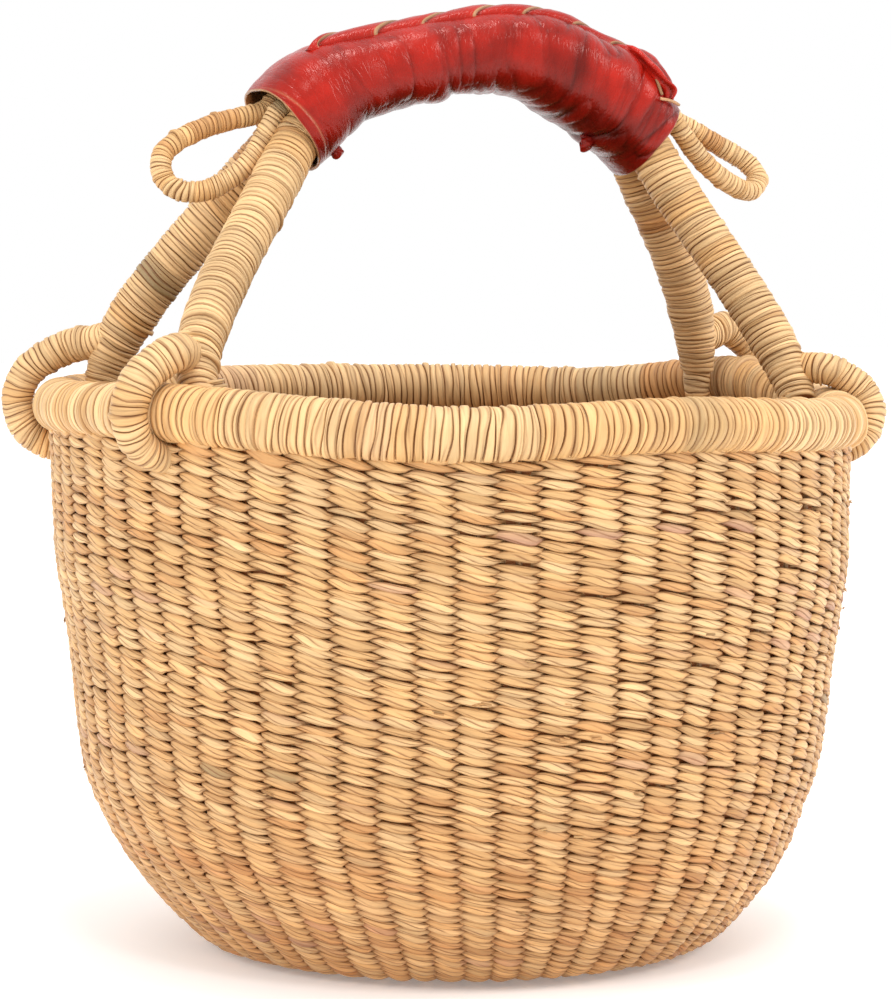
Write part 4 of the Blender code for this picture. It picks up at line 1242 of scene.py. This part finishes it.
def dry_straw(name="twined_straw", lines=860.0, drift=-85.0, strength=0.85):
    """Straw: the piece's tint, with fine fibres and a few dark folds that run down the straw's own
    coordinates, the same lines as bumps, and a soft waxy gloss. The folds' dark is partly the straw's own
    streaks and partly painted shade in the grooves between its plies.

    A fold lies where the distance across the straw, in steps of a millimetre or so, plus a
    little of the distance along it and a noise, is close to a whole number."""
    material = bpy.data.materials.get(name)
    if material:
        return material
    material, tree, shader = shader_material(name)
    tint, uv, place = tint_and_place(tree)
    parted = tree.nodes.new("ShaderNodeSeparateXYZ")
    tree.links.new(uv, parted.inputs[0])
    wander = noise(tree, uv, (45.0, 260.0, 1.0), 1.0)
    across = maths(tree, "MULTIPLY", parted.outputs["Y"], lines)
    along = maths(tree, "MULTIPLY", parted.outputs["X"], drift)
    line = maths(tree, "ADD", across, along)
    line = maths(tree, "ADD", line, maths(tree, "MULTIPLY", wander, 1.6))
    ply = {"W": maths(tree, "FLOOR", line)}
    ply = node(tree, "TexWhiteNoise", "Value", ply, noise_dimensions="1D")
    ply_light = spread(tree, ply, 0.0, 1.0, 0.86, 1.10)
    line = maths(tree, "PINGPONG", line, 0.5)
    line = spread(tree, line, 0.0, 0.16, 1.0, 0.0)
    present = spread(tree, noise(tree, uv, (75.0, 520.0, 1.0), 1.0), 0.36, 0.56, 0.15, 1.0)
    # The folds take the gap colour: partly the straw's own streaks, partly painted shade between its
    # plies
    fold = maths(tree, "MULTIPLY", line, present)
    fibre = noise(tree, uv, (110.0, 3000.0, 1.0), 3.0, 0.6)
    light = spread(tree, fibre, 0.30, 0.70, 0.84, 1.10)
    cloud = spread(tree, noise(tree, place, (45.0, 45.0, 45.0), 2.0), 0.3, 0.7, 0.94, 1.05)
    light = maths(tree, "MULTIPLY", light, ply_light)
    colour = scaled_colour(tree, tint, maths(tree, "MULTIPLY", light, cloud))
    amount = maths(tree, "MULTIPLY", fold, strength)
    shade = (*bpy.context.scene.basket_colours.shade, 1.0)
    feeds = {"Factor": amount, 6: colour, 7: shade}
    tree.links.new(node(tree, "Mix", 2, feeds, data_type="RGBA"), shader.inputs["Base Color"])
    height = maths(tree, "SUBTRACT", light, maths(tree, "MULTIPLY", fold, 0.9))
    tree.links.new(bump(tree, height, 0.0005, 0.55), shader.inputs["Normal"])
    shader.inputs["Roughness"].default_value = 0.50
    shader.inputs["Specular IOR Level"].default_value = 0.40
    return material


def wound_straw():
    """The straw of the windings: wider, with fainter folds."""
    return dry_straw("wound_straw", 620.0, 12.0, 0.50)


def red_leather():
    """Dyed leather: the piece's tint, mottled, with pebbled grain, fine creases across the
    grip as bumps, and a gloss that breaks up with the grain."""
    material = bpy.data.materials.get("dyed_leather")
    if material:
        return material
    material, tree, shader = shader_material("dyed_leather")
    tint, uv, place = tint_and_place(tree)
    mottle = noise(tree, place, (85.0, 85.0, 85.0), 5.0, 0.6)
    tone = spread(tree, mottle, 0.30, 0.70, 0.70, 1.24)
    tree.links.new(scaled_colour(tree, tint, tone), shader.inputs["Base Color"])
    feeds = {"Scale": 1500.0, "Vector": place}
    grain = node(tree, "TexVoronoi", "Distance", feeds, feature="DISTANCE_TO_EDGE")
    crease = noise(tree, uv, (420.0, 110.0, 1.0), 2.0, 0.5)
    crease = maths(tree, "ABSOLUTE", maths(tree, "SUBTRACT", crease, 0.5))
    crease = spread(tree, crease, 0.0, 0.06, 0.0, 1.0)
    height = maths(tree, "ADD", maths(tree, "MULTIPLY", grain, 0.8), crease)
    bent = bump(tree, height, 0.00035, 0.24)
    tree.links.new(bent, shader.inputs["Normal"])
    tree.links.new(bent, shader.inputs["Coat Normal"])
    patch = noise(tree, place, (260.0, 260.0, 260.0), 3.0)
    tree.links.new(spread(tree, patch, 0.3, 0.7, 0.17, 0.38), shader.inputs["Roughness"])
    shader.inputs["Specular IOR Level"].default_value = 0.35
    shader.inputs["Specular Tint"].default_value = (1.0, 0.50, 0.42, 1.0)
    shader.inputs["Coat Weight"].default_value = 0.14
    shader.inputs["Coat Roughness"].default_value = 0.20
    return material


# Stage

PHOTO_HEIGHT = 999.0
LIGHT_AIM = Vector((0.0, 0.0, 0.12))
# Each lamp's name, place, width and power
LIGHTS = (
    ("key_softbox", (-0.35, -1.35, 1.75), 0.4, 7.0),
    ("left_softbox", (-1.6, -0.5, 1.1), 0.6, 7.0),
    ("right_softbox", (1.35, -0.95, 1.1), 0.6, 8.5),
    ("top_softbox", (0.05, -0.25, 2.1), 0.5, 12.0),
)


class BASKET_OT_stage(bpy.types.Operator):
    """Sets the pale floor, the soft lights, the world and the camera."""

    bl_idname = "basket.stage"
    bl_label = "Set the stage"

    def execute(self, context):
        scene, stage = context.scene, context.scene.basket_stage
        bpy.ops.mesh.primitive_plane_add(size=8.0, location=(0.0, 0.0, -0.0004))
        floor = context.object
        floor.name = "studio_floor"
        paint, _, shader = shader_material("white_floor")
        shader.inputs["Base Color"].default_value = (0.97, 0.965, 0.96, 1.0)
        shader.inputs["Roughness"].default_value = 0.9
        shader.inputs["Specular IOR Level"].default_value = 0.1
        shader.inputs["Emission Color"].default_value = (1.0, 0.97, 0.95, 1.0)
        shader.inputs["Emission Strength"].default_value = 0.20
        floor.data.materials.append(paint)

        world = bpy.data.worlds.new("white_room")
        world.use_nodes = True
        background = world.node_tree.nodes["Background"]
        background.inputs["Color"].default_value = (1.0, 1.0, 1.0, 1.0)
        background.inputs["Strength"].default_value = 1.0
        scene.world = world

        for name, place, width, power in LIGHTS:
            data = bpy.data.lights.new(name, "AREA")
            data.shape = "SQUARE"
            data.size = width
            data.energy = power
            lamp = bpy.data.objects.new(name, data)
            lamp.location = place
            aim = LIGHT_AIM - Vector(place)
            lamp.rotation_euler = aim.to_track_quat("-Z", "Y").to_euler()
            scene.collection.objects.link(lamp)

        data = bpy.data.cameras.new("camera")
        camera = bpy.data.objects.new("camera", data)
        scene.collection.objects.link(camera)
        data.sensor_fit = "AUTO"
        data.sensor_width = 36.0
        data.lens = stage.focal_pixels * data.sensor_width / PHOTO_HEIGHT
        data.clip_start = 0.05
        data.clip_end = 50.0
        east, south = math.sin(stage.azimuth), math.cos(stage.azimuth)
        camera.location = (stage.distance * east, -stage.distance * south, stage.height)
        level = math.cos(stage.pitch)
        forward = Vector((-east * level, south * level, -math.sin(stage.pitch)))
        side = forward.cross(Vector((0.0, 0.0, 1.0))).normalized()
        up = side.cross(forward)
        camera.rotation_euler = Matrix((side, up, -forward)).transposed().to_euler()
        scene.camera = camera
        scene.view_settings.view_transform = "Standard"
        scene.view_settings.look = "None"
        return {"FINISHED"}


class BASKET_PT_panel(bpy.types.Panel):
    """Lists the basket's settings and the steps that make it."""

    bl_idname = "BASKET_PT_panel"
    bl_label = "Twined basket"
    bl_space_type = "VIEW_3D"
    bl_region_type = "UI"
    bl_category = "Basket"

    def draw(self, context):
        layout = self.layout
        for group in SETTINGS:
            settings = getattr(context.scene, group)
            box = layout.box()
            for name in settings.bl_rna.properties.keys():
                if name not in ("rna_type", "name"):
                    box.prop(settings, name)
        for step in STEPS:
            layout.operator(step.bl_idname)


STEPS = (
    BASKET_OT_stage,
    BASKET_OT_twining,
    BASKET_OT_uprights,
    BASKET_OT_start,
    BASKET_OT_stubs,
    BASKET_OT_rim,
    BASKET_OT_arch,
    BASKET_OT_loops,
    BASKET_OT_sleeve,
    BASKET_OT_lace,
)
SETTINGS = {
    "basket_sizes": BasketSizes,
    "handle_sizes": HandleSizes,
    "basket_colours": BasketColours,
    "basket_stage": StageSettings,
}


def register():
    """Registers the classes and hangs the settings on the scene."""
    for kind in (*SETTINGS.values(), *STEPS, BASKET_PT_panel):
        bpy.utils.register_class(kind)
    for name, kind in SETTINGS.items():
        setattr(bpy.types.Scene, name, PointerProperty(type=kind))


def unregister():
    """Takes the settings and the classes away again."""
    for name in reversed(SETTINGS):
        delattr(bpy.types.Scene, name)
    for kind in (BASKET_PT_panel, *reversed(STEPS), *reversed(SETTINGS.values())):
        bpy.utils.unregister_class(kind)


def main():
    """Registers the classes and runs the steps."""
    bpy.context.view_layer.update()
    register()
    bpy.ops.basket.stage()
    bpy.ops.basket.twining()
    bpy.ops.basket.uprights()
    bpy.ops.basket.start()
    bpy.ops.basket.stubs()
    bpy.ops.basket.rim()
    bpy.ops.basket.arches()
    bpy.ops.basket.loops()
    bpy.ops.basket.sleeve()
    bpy.ops.basket.lace()
    bpy.context.view_layer.update()


if __name__ == "__main__":
    main()
